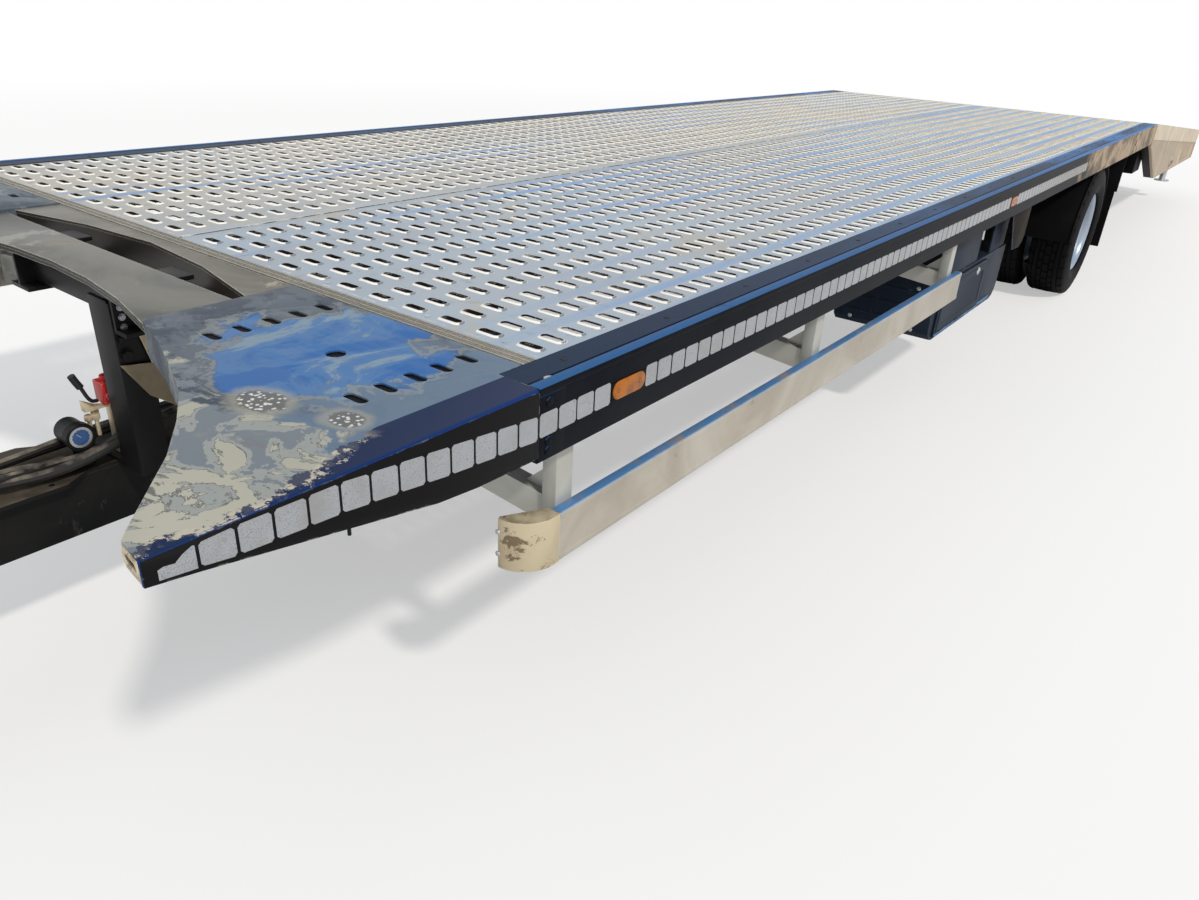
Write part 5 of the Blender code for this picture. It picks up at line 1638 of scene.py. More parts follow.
@dataclass
class Hanger:
    """The column that carries the drawbar, with the brake's gauge, valve and lever.

    Attributes:
        side_x: The X place of the column's outer face.
        web_x: The X place of the front rail's web.
        shelf_drop: The upper face of the column's foot.
        gauge_radius: The gauge's radius.
        gauge_station: The station of its middle.
        gauge_drop: The drop of its middle.
        gauge_x: The X places of its two ends.
        gusset: The station and drop of the pale gusset's corners.
        shelf: The same for the brown one under it.
    """

    side_x: float = 0.222
    web_x: float = 0.2352
    shelf_drop: float = 0.468
    gauge_radius: float = 0.034
    gauge_station: float = -0.355
    gauge_drop: float = 0.396
    gauge_x: Pair = (0.025, 0.100)
    gusset: tuple[Pair, ...] = ((-0.243, 0.130), (-0.192, 0.140), (-0.192, 0.210), (-0.222, 0.214))
    shelf: tuple[Pair, ...] = ((-0.293, 0.198), (-0.192, 0.213), (-0.186, 0.326), (-0.241, 0.284))

    def build(self) -> None:
        """Builds the column, the gauge and the valve."""
        show(dressed("drawbar_hanger", 0.0012), FRAME_PAINT, nodes=["drawbar_hanger"])
        small = [point(self.web_x, -0.272, d) for d in (0.067, 0.089, 0.112)]
        large = [point(self.side_x, -0.272, d) for d in (0.142, 0.180)]
        show(stamped("hanger_bolts_small", hex_bolt(0.007), small, (1, 0, 0)), ZINC)
        show(stamped("hanger_bolts_large", hex_bolt(0.014), large, (1, 0, 0)), FRAME_PAINT)
        for name, finish, corners in (("hanger_gusset", CAP, self.gusset), ("hanger_shelf", SHELF, self.shelf)):
            outline = [point(self.side_x + 0.0043, s, d) for s, d in corners]
            show(extruded(name, outline, (0.004, 0, 0), 0.0008), finish)
        self.gauge()
        self.valve()

    def gauge(self) -> None:
        """The pressure gauge on its stand, its dial towards the left side."""
        centre = point(0, self.gauge_station, self.gauge_drop)
        low, high = self.gauge_x
        r = self.gauge_radius
        can = spun("gauge_can", [(low, 0.0), (low, r * 0.80), (low + 0.004, r * 0.90), (high - 0.026, r * 0.90),
                                 (high - 0.024, r * 0.93), (high - 0.022, r), (high - 0.002, r), (high, r - 0.002),
                                 (high, r - 0.006), (high - 0.005, r - 0.008), (high - 0.005, 0.0)], centre, 40)
        y, foot = centre[1], above(self.shelf_drop)
        stand = block("stand", (0.045, at(-0.42), foot - 0.0115), (0.085, at(-0.335), foot), 0.0015)
        stem = bar("stem", (0.060, y, foot - 0.002), (0.060, y, centre[2] - r * 0.85), 0.012, 12, 0.001)
        nut = bar("nut", (0.060, y, foot), (0.060, y, foot + 0.012), 0.019, 6, 0.001)
        show(together("gauge_body", [can, stand, stem, nut]), FRAME_PAINT, nodes=["pressure_gauge"])
        back, front = high - 0.006, high - 0.004
        ring = [(back, r - 0.014), (front, r - 0.0145), (front, r - 0.0085), (back, r - 0.008)]
        show(spun("gauge_ring", ring, centre, 40), ZINC)
        face = spun("gauge_dial", [(high - 0.0055, 0.0), (high - 0.0055, r - 0.0086), (high - 0.0048, r - 0.009),
                                   (high - 0.0044, 0.0)], centre, 40)
        show(face, DIAL)
        ticks = []
        for k in range(11):
            a = math.radians(-40 + k * 26)
            out = Vector((0, math.cos(a), math.sin(a)))
            start, end = Vector(centre) + out * (r - 0.0165), Vector(centre) + out * (r - 0.0145)
            start.x = end.x = high - 0.0042
            ticks.append(bar("tick", start, end, 0.0005, 6))
        tip = Vector(centre) + Vector((high - 0.0038, -0.008, 0.010))
        ticks.append(bar("needle", (high - 0.0038, centre[1], centre[2]), tip, 0.0007, 6))
        show(together("gauge_ticks", ticks), CLEAR)

    def valve(self) -> None:
        """The red release valve on its pillar, with fittings and a black lever."""
        low, high = point(0.055, -0.289, 0.335), point(0.100, -0.244, 0.280)
        body = block("valve", low, high, 0.004)
        knob = bar("knob", point(0.078, -0.267, 0.281), point(0.078, -0.267, 0.268), 0.013, 14, 0.002)
        port = bar("port", point(0.099, -0.275, 0.312), point(0.112, -0.275, 0.312), 0.011, 12, 0.0015)
        rear = bar("rear", point(0.078, -0.246, 0.305), point(0.078, -0.226, 0.305), 0.014, 14, 0.002)
        show(together("valve_body", [body, knob, port, rear]), VALVE_RED, nodes=["brake_valve"])
        pillar = block("pillar", point(0.065, -0.275, self.shelf_drop), point(0.09, -0.255, 0.334), 0.0015)
        arm = extruded("arm", [point(0.066, -0.256, 0.345), point(0.066, -0.330, 0.345),
                               point(0.066, -0.330, 0.318), point(0.066, -0.300, 0.336)], (0.020, 0, 0), 0.0012)
        nuts = []
        pipes = ((0.062, -0.300, 0.350, 0.05), (0.088, -0.310, 0.352, 0.055), (0.076, -0.322, 0.356, 0.05))
        for x, s, d, length in pipes:
            top = above(d)
            nuts += [bar("nut", (x, at(s), top), (x, at(s), top - 0.014), 0.010, 6, 0.001),
                     bar("pipe", (x, at(s), top - 0.010), (x, at(s), top - length), 0.005, 10)]
        show(together("valve_fittings", [pillar, arm, *nuts]), BRASS)
        x = 0.100
        pivot, knee, tip = point(x, -0.318, 0.312), point(x, -0.334, 0.275), point(x, -0.348, 0.243)
        stem = tube("stem", [point(x - 0.012, -0.300, 0.322), pivot, knee], 0.0045)
        grip = tube("grip", [knee, point(x, -0.343, 0.256), tip], 0.0085)
        show(together("valve_lever", [stem, grip]), RUBBER)


@dataclass
class Drawbar:
    """The drawbar with its coupling eye and the lines along its top.

    Attributes:
        top_drop: The drop of its upper face.
        lines: For each line its name, radius and the places it runs through as X, station and drop.
        clips: The stations of the clips along the beam.
        arch: The clips' outline as X place and height over the beam.
    """

    top_drop: float = 0.49
    lines: tuple[tuple[str, float, tuple[Point, ...]], ...] = (
        ("air_line", 0.0125, (
            (0.070, -1.93, 0.474), (0.074, -1.40, 0.474), (0.080, -0.85, 0.462), (0.082, -0.60, 0.450),
            (0.110, -0.42, 0.452), (0.125, -0.30, 0.425), (0.120, -0.15, 0.400), (0.100, 0.20, 0.385),
            (0.080, 0.80, 0.380))),
        ("brake_line", 0.0115, (
            (0.040, -1.93, 0.474), (0.045, -1.40, 0.475), (0.050, -0.85, 0.462), (0.040, -0.52, 0.452),
            (0.095, -0.36, 0.445), (0.110, -0.24, 0.408), (0.095, 0.0, 0.392), (0.060, 0.80, 0.385))),
        ("supply_line", 0.0105, (
            (0.010, -1.93, 0.475), (0.015, -1.40, 0.476), (0.025, -0.85, 0.452), (0.015, -0.50, 0.438),
            (0.020, -0.30, 0.420), (0.060, -0.10, 0.395), (0.040, 0.80, 0.390))),
        ("lamp_cable", 0.0085, (
            (-0.020, -1.93, 0.476), (-0.010, -1.40, 0.478), (0.060, -0.80, 0.446), (0.090, -0.55, 0.436),
            (0.082, -0.42, 0.448), (0.100, -0.30, 0.440), (0.060, -0.16, 0.430), (0.0, 0.80, 0.400))),
        ("sensor_cable", 0.0070, (
            (-0.045, -1.93, 0.477), (-0.030, -1.40, 0.480), (-0.010, -0.80, 0.468), (-0.030, -0.40, 0.462),
            (0.0, -0.14, 0.440), (-0.030, 0.80, 0.400))),
    )
    clips: tuple[float, ...] = (-1.78, -1.45, -1.12, -0.80)
    arch: tuple[Pair, ...] = ((-0.062, 0.0), (-0.058, 0.026), (0.0, 0.034), (0.080, 0.036), (0.095, 0.030),
                              (0.098, 0.0))

    def build(self) -> None:
        """Builds the beam, the eye and the lines."""
        beam = dressed("drawbar_beam", 0.002)
        hole = bar("hole", point(0.112, -0.445, 0.50), point(0.112, -0.445, 0.47), 0.007, 12)
        show(cut(beam, hole), DRAWBAR, nodes=["drawbar_beam"])
        show(dressed("drawbar_eye", 0.003), FRAME_PAINT, nodes=["drawbar_eye"])
        y, z = at(-2.245), above(DRAWBAR_DROP)
        ring = [(-0.0222, 0.0252), (-0.0222, 0.033), (0.0222, 0.033), (0.0222, 0.0252)]
        show(spun("eye_bush", ring, (0, y, z), 32, Axis.Z), ZINC)
        bolts = [(x, at(-2.045), z + h) for x in (-0.065, 0.065) for h in (-0.045, 0.045)]
        show(stamped("eye_bolts", hex_bolt(0.014), bolts, (0, -1, 0)), ZINC)
        for name, radius, places in self.lines:
            show(tube(name, [point(x, s, d) for x, s, d in places], radius), HOSE)
        self.sockets()

    def sockets(self) -> None:
        """The plate that parks the lines' couplings, and the clips along the beam."""
        top = above(self.top_drop)
        plate = block("parking_plate", (-0.075, at(-1.955), top), (0.095, at(-1.947), top + 0.062), 0.0015)
        foot = block("foot", (-0.075, at(-1.955), top), (0.095, at(-1.925), top + 0.004), 0.0012)
        show(together("line_plate", [plate, foot]), ZINC)
        finishes = (VALVE_RED, BRASS, BLACK_PLASTIC_AND_SHADE, BLACK_PLASTIC_AND_SHADE, BLACK_PLASTIC_AND_SHADE)
        for (name, radius, places), finish in zip(self.lines, finishes):
            x, z = places[0][0], top + 0.018
            head = bar("head", (x, at(-1.925), z), (x, at(-1.985), z), radius * 1.25, 16, 0.0015)
            ring = bar("ring", (x, at(-1.966), z), (x, at(-1.972), z), radius * 1.5, 16, 0.001)
            show(together(f"{name}_head", [head, ring]), finish)
        straps = []
        for station in self.clips:
            outer = [(x, at(station), top + h) for x, h in self.arch]
            inner = [(x * 0.965 + 0.001, at(station), top + max(h - 0.003, 0)) for x, h in reversed(self.arch)]
            straps.append(extruded("strap", outer + inner, (0, 0.022, 0), 0.0006))
        show(together("line_clips", straps), ZINC)


@dataclass
class Jack:
    """The jack with its crank and foot.

    Attributes:
        x: The X place of its middle.
        station: The station of its middle.
        top_drop: The drop of the tube's top.
    """

    x: float = -0.17
    station: float = -1.30
    top_drop: float = 0.10

    def build(self) -> None:
        """Builds the tube, the leg and the crank."""
        show(dressed("jack_tube", 0.0012), ZINC, nodes=["jack_tube"])
        show(dressed("jack_leg", 0.0015), ZINC, "jack_leg", ["jack_leg"])
        x, y, top = self.x, at(self.station), above(self.top_drop)
        neck = bar("neck", (x - 0.036, y, top - 0.05), (x - 0.062, y, top - 0.05), 0.012, 14, 0.001)
        line = ((0.055, 0.05), (0.075, 0.05), (0.082, 0.062), (0.082, 0.17), (0.084, 0.186), (0.095, 0.19))
        crank = tube("crank", [(x - out, y, top - down) for out, down in line], 0.006)
        show(together("jack_crank", [neck, crank]), ZINC)
        grip = bar("jack_grip", (x - 0.09, y, top - 0.19), (x - 0.165, y, top - 0.19), 0.0115, 14, 0.003)
        show(grip, BLACK_PLASTIC_AND_SHADE)
        z = above(DRAWBAR_DROP)
        flange = block("jack_flange", (-0.106, y - 0.052, z - 0.052), (-0.1003, y + 0.052, z + 0.052), 0.001)
        show(flange, ZINC)
        bolts = [(-0.1058, y + d, z + h) for d in (-0.036, 0.036) for h in (-0.034, 0.034)]
        show(stamped("jack_bolts", hex_bolt(0.010), bolts, (-1, 0, 0)), ZINC)


@dataclass
class Wheel:
    """The pair of tyres, rims and the hub on each side.

    Attributes:
        centre: The axle's middle.
        middle: The X place between the two tyres.
        radius: The tyre's radius.
        width: The tyre's width.
        spacing: Between the tyres' middles.
        seat: The rim's radius under the bead.
        hub: The hub's radius.
        rings: The radii of the rings of hand holes, wheel nuts and cap bolts.
        steps: The steps of the tyre's full turn.
    """

    centre: Point = (0, at(AXLE_STATION), AXLE_HEIGHT)
    middle: float = 0.9875
    radius: float = 0.3945
    width: float = 0.245
    spacing: float = 0.28
    seat: float = 0.2222
    hub: float = 0.106
    rings: tuple[float, float, float] = (0.1475, 0.1215, 0.0645)
    steps: int = 120

    def ring(self, x: float, radius: float, count: int, first: float = 0.0) -> list[Point]:
        """Places round the axle.

        Args:
            x: Their X place.
            radius: The ring's radius.
            count: The number of places.
            first: The turn of the first one, in steps of the ring.

        Returns:
            The places.
        """
        turns = [math.tau * (k + first) / count for k in range(count)]
        _, y, z = self.centre
        return [(x, y + radius * math.cos(a), z + radius * math.sin(a)) for a in turns]

    def tyre(self, name: str, middle: float) -> bpy.types.Object:
        """One tyre with ribs, grooves and cut shoulders.

        Args:
            name: The piece's name.
            middle: The X place of the tyre's middle.

        Returns:
            The tyre.
        """
        half, r, seat = self.width / 2, self.radius, self.seat + 0.0003
        tread, deep = [], 0.009
        for low, high in ((0.0, 0.016), (0.022, 0.044), (0.051, 0.072), (0.079, 0.094)):
            if low:
                tread += [(low - 0.001, r - deep), (low, r - 0.0012)]
            tread += [(high, r - (high / 0.094) ** 2 * 0.006)]
            if high < 0.09:
                tread += [(high + 0.001, r - deep)]
        side = [(0.104, r - 0.013), (0.110, r - 0.026), (0.114, r - 0.040), (0.1145, r - 0.043), (0.117, r - 0.052),
                (0.1215, r - 0.082), (half, r - 0.098), (half - 0.0005, r - 0.103), (0.1195, r - 0.108),
                (0.1165, r - 0.130), (0.1150, r - 0.134), (0.1100, self.seat + 0.024), (0.1040, self.seat + 0.0185),
                (0.0870, self.seat + 0.0178), (0.0855, seat), (0.0680, seat), (0.0950, self.seat + 0.050),
                (0.1040, self.seat + 0.078), (0.0780, r - 0.0185)]
        profile = tread + side
        profile += [(-m, rad) for m, rad in reversed(profile)]
        obj = spun(name, [(middle + m, rad) for m, rad in profile], self.centre, self.steps)
        step = math.tau / self.steps

        def work() -> None:
            """Sinks the cuts into the tread."""

            def cuts(face: bmesh.types.BMFace) -> bool:
                """Whether a face of the tread or its shoulder is cut."""
                place = face.calc_center_median()
                y, z = place.y - self.centre[1], place.z - self.centre[2]
                across, out = abs(place.x - middle), math.hypot(y, z)
                index = int((math.atan2(z, y) + math.pi) / step + 0.01)
                flat = out > r - 0.0065 and abs(face.normal.x) < 0.5
                ribs = across < 0.0435 and index % 3 == 0 and across > 0.02
                middle_rib = across < 0.016 and index % 3 == 1
                edge = 0.078 < across < 0.112 and out > r - 0.02 and index % 4 == 0
                return (flat and (ribs or middle_rib)) or edge

            choose(obj, cuts)
            bpy.ops.mesh.inset(thickness=0.0028, use_individual=True)
            shape = bmesh.from_edit_mesh(obj.data)
            chosen = {v for face in shape.faces if face.select for v in face.verts}
            for vertex in chosen:
                out = Vector((0, vertex.co.y - self.centre[1], vertex.co.z - self.centre[2])).normalized()
                vertex.co -= out * 0.005
            bmesh.update_edit_mesh(obj.data)

        in_edit(obj, work)
        return obj

    def rims(self) -> bpy.types.Object:
        """The two rims of the pair with hand holes in their discs."""
        seat, hub = self.seat, self.hub + 0.0003
        half = [(0.0108, hub), (0.0108, seat - 0.062), (0.0145, seat - 0.056), (0.030, seat - 0.044),
                (0.036, seat - 0.037), (0.060, seat - 0.033), (0.150, seat - 0.031), (0.172, seat - 0.026),
                (0.190, seat - 0.014), (0.206, seat - 0.0095), (0.222, seat - 0.0065), (0.2300, seat + 0.001),
                (0.2345, seat + 0.0125), (0.2365, seat + 0.0145), (0.2345, seat + 0.0157), (0.2300, seat + 0.0150),
                (0.2270, seat + 0.0080), (0.2255, seat), (0.0545, seat), (0.0520, seat + 0.0080),
                (0.0500, seat + 0.0150), (0.0470, seat + 0.0157), (0.0440, seat + 0.0130), (0.0410, seat - 0.002),
                (0.0200, seat - 0.030), (0.0080, seat - 0.046), (0.0, seat - 0.050)]
        profile = half + [(-m, r) for m, r in reversed(half[:-1])]
        obj = spun("twin_rims_left_pair", [(self.middle + m, r) for m, r in profile], self.centre, 72)
        holes = [bar("hole", (x - 0.05, y, z), (x + 0.05, y, z), 0.0125, 16)
                 for x, y, z in self.ring(self.middle, self.rings[0], 10, 0.5)]
        return cut(obj, together("holes", holes))

    def build(self) -> None:
        """Builds both tyres, the rims, the hub, nuts and valve stems."""
        body = "wheel_left"
        for word, side in (("outer", 1), ("inner", -1)):
            tyre = self.tyre(f"tyre_{word}_left_tread", self.middle + side * self.spacing / 2)
            pair(tyre, TYRE, body, [f"tyre_{word}_left"], 30)
        pair(self.rims(), RIM, body, ["twin_rims_left"], 40)
        pair(self.hub_piece(), FRAME_PAINT, body, ["wheel_hub_left"], 40)
        nut = bevelled(bar("nut", (0, 0, 0.005), (0, 0, 0.026), 0.0165, 6), 0.0015, 1, 50)
        nut = together("nut", [nut, bar("washer", (0, 0, 0), (0, 0, 0.006), 0.019, 18, 0.001),
                               bar("stud", (0, 0, 0.02), (0, 0, 0.034), 0.0095, 12, 0.001)])
        nuts = stamped("wheel_nuts_left", nut, self.ring(self.middle + 0.0108, self.rings[1], 10), (1, 0, 0))
        pair(nuts, ZINC, body)
        _, y, z = self.centre
        line = ((0.150, self.seat - 0.030), (0.158, 0.178), (0.205, 0.172), (0.225, 0.170))
        stem = tube("valve_stem_left", [(self.middle + out, y, z + up) for out, up in line], 0.0042)
        pair(stem, BRASS, body)

    def hub_piece(self) -> bpy.types.Object:
        """The hub with its drum and grease cap."""
        inner = self.middle - 0.2975
        end = self.middle + 0.1125
        cap = ((0.006, 0.0356), (0.006, 0.0), (0.065, 0.0), (0.065, 0.040), (0.062, 0.050), (0.055, 0.055),
               (0.036, 0.057), (0.034, 0.072), (0.020, 0.075), (0.016, 0.084), (-0.060, 0.090), (-0.085, 0.104),
               (-0.090, 0.106))
        drum = ((0.212, 0.106), (0.205, 0.112), (0.19, 0.150), (0.185, 0.1552), (0.12, 0.1552), (0.115, 0.152),
                (0.085, 0.152), (0.08, 0.1552), (0, 0.1552), (0, 0.0356))
        profile = [(end + x, r) for x, r in cap] + [(inner + x, r) for x, r in drum]
        hub = spun("wheel_hub_left_cap", profile, self.centre, 56)
        heads = stamped("heads", hex_bolt(0.007, False), self.ring(end + 0.034, self.rings[2], 8), (1, 0, 0))
        return together("wheel_hub_left_cap", [hub, heads])


@dataclass
class Suspension:
    """The axle, its air springs, brake chambers, dampers and the air tank.

    Attributes:
        arm_x: The X place of the arms.
    """

    arm_x: float = 0.29

    def build(self) -> None:
        """Builds all that is between the wheels and the beams."""
        show(dressed("axle_beam", 0.002), FRAME_PAINT, nodes=["axle_beam"])
        y, z = at(AXLE_STATION), AXLE_HEIGHT
        low, high = z + 0.0463, above(0.26) - 0.0003
        foot = ((0, 0.0), (0, 0.062), (0.07, 0.066), (0.075, 0.082), (0.085, 0.096), (0.105, 0.1085), (0.135, 0.110),
                (0.150, 0.1075))
        head = ((-0.085, 0.1065), (-0.070, 0.110), (-0.040, 0.109), (-0.020, 0.100), (-0.012, 0.085), (-0.010, 0.100),
                (0, 0.100), (0, 0.0))
        steps = [(low + up - z, radius) for up, radius in foot] + [(high + up - z, radius) for up, radius in head]
        spring = spun("air_spring_left_bellows", steps, (self.arm_x, y + 0.42, z), 40, Axis.Z)
        pair(spring, RUBBER, nodes=["air_spring_left"], angle=50)
        bolts = [(self.arm_x + dx, y + dy) for dx in (-0.028, 0.028) for dy in (-0.05, 0.05)]
        ties = [bar("tie", (*place, z - 0.075), (*place, z + 0.100), 0.009, 10, 0.001) for place in bolts]
        low, high = (self.arm_x - 0.05, y - 0.075, z - 0.085), (self.arm_x + 0.05, y + 0.075, z - 0.061)
        plate = block("plate", low, high, 0.002)
        nuts = stamped("nuts", hex_bolt(0.015), [(*place, z + 0.082) for place in bolts], (0, 0, 1))
        pair(together("axle_ties_left", [*ties, plate, nuts]), FRAME_PAINT)
        damper = [(0.0, 0.0), (0.0, 0.028), (0.16, 0.028), (0.165, 0.022), (0.165, 0.0)]
        damper = spun("damper", damper, (0, 0, 0), 20, Axis.Z)
        rod = bar("rod", (0, 0, 0.10), (0, 0, 0.24), 0.010, 12)
        pattern = together("damper", [damper, rod])
        run = Vector((0.0, 0.17, 0.22))
        pattern.data.transform(run.to_track_quat("Z", "Y").to_matrix().to_4x4())
        pattern.data.transform(Matrix.Translation((self.arm_x + 0.062, y + 0.03, z + 0.03)))
        pattern.name = "damper_left"
        pair(pattern, FRAME_PAINT)
        chamber = [(0.0, 0.0), (0.0, 0.055), (0.030, 0.075), (0.055, 0.078), (0.060, 0.084), (0.070, 0.084),
                   (0.075, 0.078), (0.110, 0.072), (0.125, 0.060), (0.130, 0.0)]
        chamber = spun("brake_chamber_left", chamber, (0.50, y + 0.13, z + 0.02), 32, Axis.Y)
        arm = block("arm", (0.485, y - 0.02, z - 0.01), (0.515, y + 0.135, z + 0.05), 0.003)
        pair(together("brake_chamber_left", [chamber, arm]), FRAME_PAINT)
        self.tank()

    def tank(self) -> None:
        """The air tank with domed ends, straps and a drain."""
        low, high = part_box("air_tank")
        radius, dome = 0.11, 0.045
        z = low[2] + radius
        start, end = low[1], high[1]
        profile = [(start, 0.0), (start + 0.004, 0.045), (start + dome * 0.4, 0.085), (start + dome, 0.1085),
                   (start + dome + 0.01, radius), (end - dome - 0.01, radius), (end - dome, 0.1085),
                   (end - dome * 0.4, 0.085), (end - 0.004, 0.045), (end, 0.0)]
        parts, straps = [spun("air_tank_shell", profile, (0, 0, z), 48, Axis.Y)], []
        for y in (start + 0.12, end - 0.12):
            parts.append(block("saddle", (low[0], y - 0.02, high[2] - 0.03), (high[0], y + 0.02, high[2]), 0.002))
            ring = [(y - 0.014, radius), (y - 0.014, radius + 0.002), (y + 0.014, radius + 0.002), (y + 0.014, radius)]
            straps.append(spun("strap", ring, (0, 0, z), 40, Axis.Y))
        y = (start + end) / 2
        parts.append(bar("drain", (0, y, low[2] + 0.002), (0, y, low[2] - 0.016), 0.010, 10, 0.001))
        show(together("air_tank_shell", parts), FRAME_PAINT, nodes=["air_tank"])
        show(together("tank_straps", straps), ZINC)


@dataclass
class Mudguard:
    """The mudguard over each pair of wheels and the flap behind it.

    Attributes:
        radius: The inner radius.
        ends: The X places of its two edges.
    """

    radius: float = 0.4245
    ends: Pair = (0.71, 1.235)

    def build(self) -> None:
        """Builds the guard with its rolled edges, and the flap."""
        y, z = at(AXLE_STATION), AXLE_HEIGHT
        guard = dressed("mudguard_left", 0.0008)
        ribs = []
        for x in (self.ends[0] + 0.004, self.ends[1] - 0.004):
            arc = [(x, y + (self.radius + 0.0055) * math.cos(a), z + (self.radius + 0.0055) * math.sin(a))
                   for a in [math.pi * k / 12 for k in range(13)]]
            ribs.append(tube("edge", arc, 0.0045))
        pair(together("mudguard_left_shell", [guard, *ribs]), BLACK_PLASTIC_AND_SHADE, nodes=["mudguard_left"])
        low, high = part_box("mud_flap_left")
        flap = dressed("mud_flap_left", 0.0012)
        ribs = [block("rib", (x, low[1] - 0.0002, low[2] + 0.03), (x + 0.006, low[1] + 0.0025, above(0.42)), 0.0008)
                for x in [low[0] + 0.05 + k * 0.05 for k in range(9)]]
        pair(together("mud_flap_left_sheet", [flap, *ribs]), BLACK_PLASTIC_AND_SHADE, nodes=["mud_flap_left"])
        places = [(x, low[1], above(0.15)) for x in (0.78, 0.90, 1.02, 1.14)]
        pair(stamped("flap_bolts_left", hex_bolt(0.008), places, (0, -1, 0)), ZINC)


@dataclass
class SideGuard:
    """The rail along each side with its corner cap, posts and arms.

    Attributes:
        outer: The X place of the rail's outer face.
        thick: The rail's thickness.
        drops: Its upper and lower edge.
        start: The station where the cap's bend starts.
        end: The station of the rail's end.
        bend: The cap's outer radius.
        posts: The stations of the posts' middles.
    """

    outer: float = 1.25
    thick: float = 0.025
    drops: Pair = (0.290, 0.398)
    start: float = -0.02
    end: float = 2.45
    bend: float = 0.075
    posts: tuple[float, ...] = (0.035, 1.165, 2.362)

    def build(self) -> None:
        """Builds the rail, the cap, the posts and the arms."""
        top, low = above(self.drops[0]), above(self.drops[1])
        inner = self.outer - self.thick
        joint = at(self.start + 0.018)
        rail = [(inner, top), (self.outer - 0.003, top), (self.outer, top - 0.003), (self.outer, top - 0.013),
                (self.outer - 0.0012, top - 0.015), (self.outer - 0.0012, low + 0.015), (self.outer, low + 0.013),
                (self.outer, low + 0.003), (self.outer - 0.003, low), (inner, low)]
        rail = [(x, joint, z) for x, z in rail]
        rail = extruded("side_guard_left_rail", rail, (0, at(self.end) - joint, 0), 0.0006)

        def hollow() -> None:
            """Opens the rail's rear end."""
            choose(rail, lambda face: face.normal.y > 0.9 and face.calc_area() > 0.001)
            bpy.ops.mesh.inset(thickness=0.003)
            bpy.ops.transform.translate(value=(0, -0.03, 0))

        in_edit(rail, hollow)
        pair(rail, ALUMINIUM, nodes=["side_guard_left"])
        self.cap(top, low)
        posts, bolts = [], []
        for station in self.posts:
            y = at(station)
            outline = [(inner - 0.034, y - 0.025), (inner - 0.034, y + 0.025), (inner + 0.0004, y + 0.025),
                       (inner + 0.0004, y - 0.025)]
            foot = low + 0.02
            posts.append(extruded("post", [(*place, foot) for place in outline], (0, 0, above(0.1405) - foot), 0.002))
            start, beam = inner - 0.030, 0.2755
            arm = [(start, top - 0.052), (start, top + 0.010), (beam, above(0.255) + 0.062), (beam, above(0.255))]
            posts.append(extruded("arm", [(x, y - 0.02, z) for x, z in arm], (0, 0.04, 0), 0.002))
            gusset = [(start + 0.004, top + 0.006), (start + 0.004, top + 0.075), (start - 0.075, top + 0.006)]
            posts.append(extruded("gusset", [(x, y - 0.002, z) for x, z in gusset], (0, 0.004, 0)))
            posts.append(block("foot", (beam - 0.0002, y - 0.045, above(0.255)), (beam + 0.006, y + 0.045, above(0.19)),
                               0.001))
            bolts += [(inner - 0.017, y - 0.0252, top - 0.03), (inner - 0.017, y - 0.0252, above(0.17))]
        pair(together("side_guard_left_posts", posts), POST)
        pair(stamped("guard_bolts_left", hex_bolt(0.008), bolts, (0, -1, 0)), ZINC)

    def cap(self, top: float, low: float) -> None:
        """The bent cap on the rail's front end with its lids and rivets.

        Args:
            top: The rail's upper edge.
            low: The rail's lower edge.
        """
        middle = (self.outer - self.bend, at(self.start))
        angles = [math.radians(6 * k) for k in range(16)]
        outer = [(middle[0] + self.bend * math.cos(a), middle[1] - self.bend * math.sin(a)) for a in angles]
        less = self.bend - 0.004
        inner = [(middle[0] + less * math.cos(a), middle[1] - less * math.sin(a)) for a in reversed(angles)]
        rear = at(self.start + 0.017)
        ring = [(self.outer, rear), *outer, *inner, (self.outer - 0.004, rear)]
        skin = extruded("skin", [(x, y, low) for x, y in ring], (0, 0, top - low), 0.0008)
        lids = []
        for z in (low + 0.0005, top - 0.006):
            lid = [(self.outer - 0.002, rear), *[(middle[0] + (less + 0.001) * math.cos(a),
                    middle[1] - (less + 0.001) * math.sin(a)) for a in angles],
                   (middle[0] - 0.004, middle[1] - less + 0.004), (self.outer - self.thick - 0.008, rear)]
            lids.append(extruded("lid", [(x, y, z) for x, y in lid], (0, 0, 0.0055), 0.0008))
        pair(together("guard_cap_left", [skin, *lids]), CAP)
        places = [(self.outer - 0.0006, at(self.start + 0.006), z) for z in (low + 0.022, top - 0.022)]
        rivets = [(middle[0], middle[1] - self.bend + 0.0004, z) for z in (low + 0.03, top - 0.03)]
        heads = stamped("heads", round_head(0.006, 0.0005), places, (1, 0, 0))
        more = stamped("heads", round_head(0.006, 0.003), rivets, (0, -1, 0))
        pair(together("cap_rivets_left", [heads, more]), ZINC)


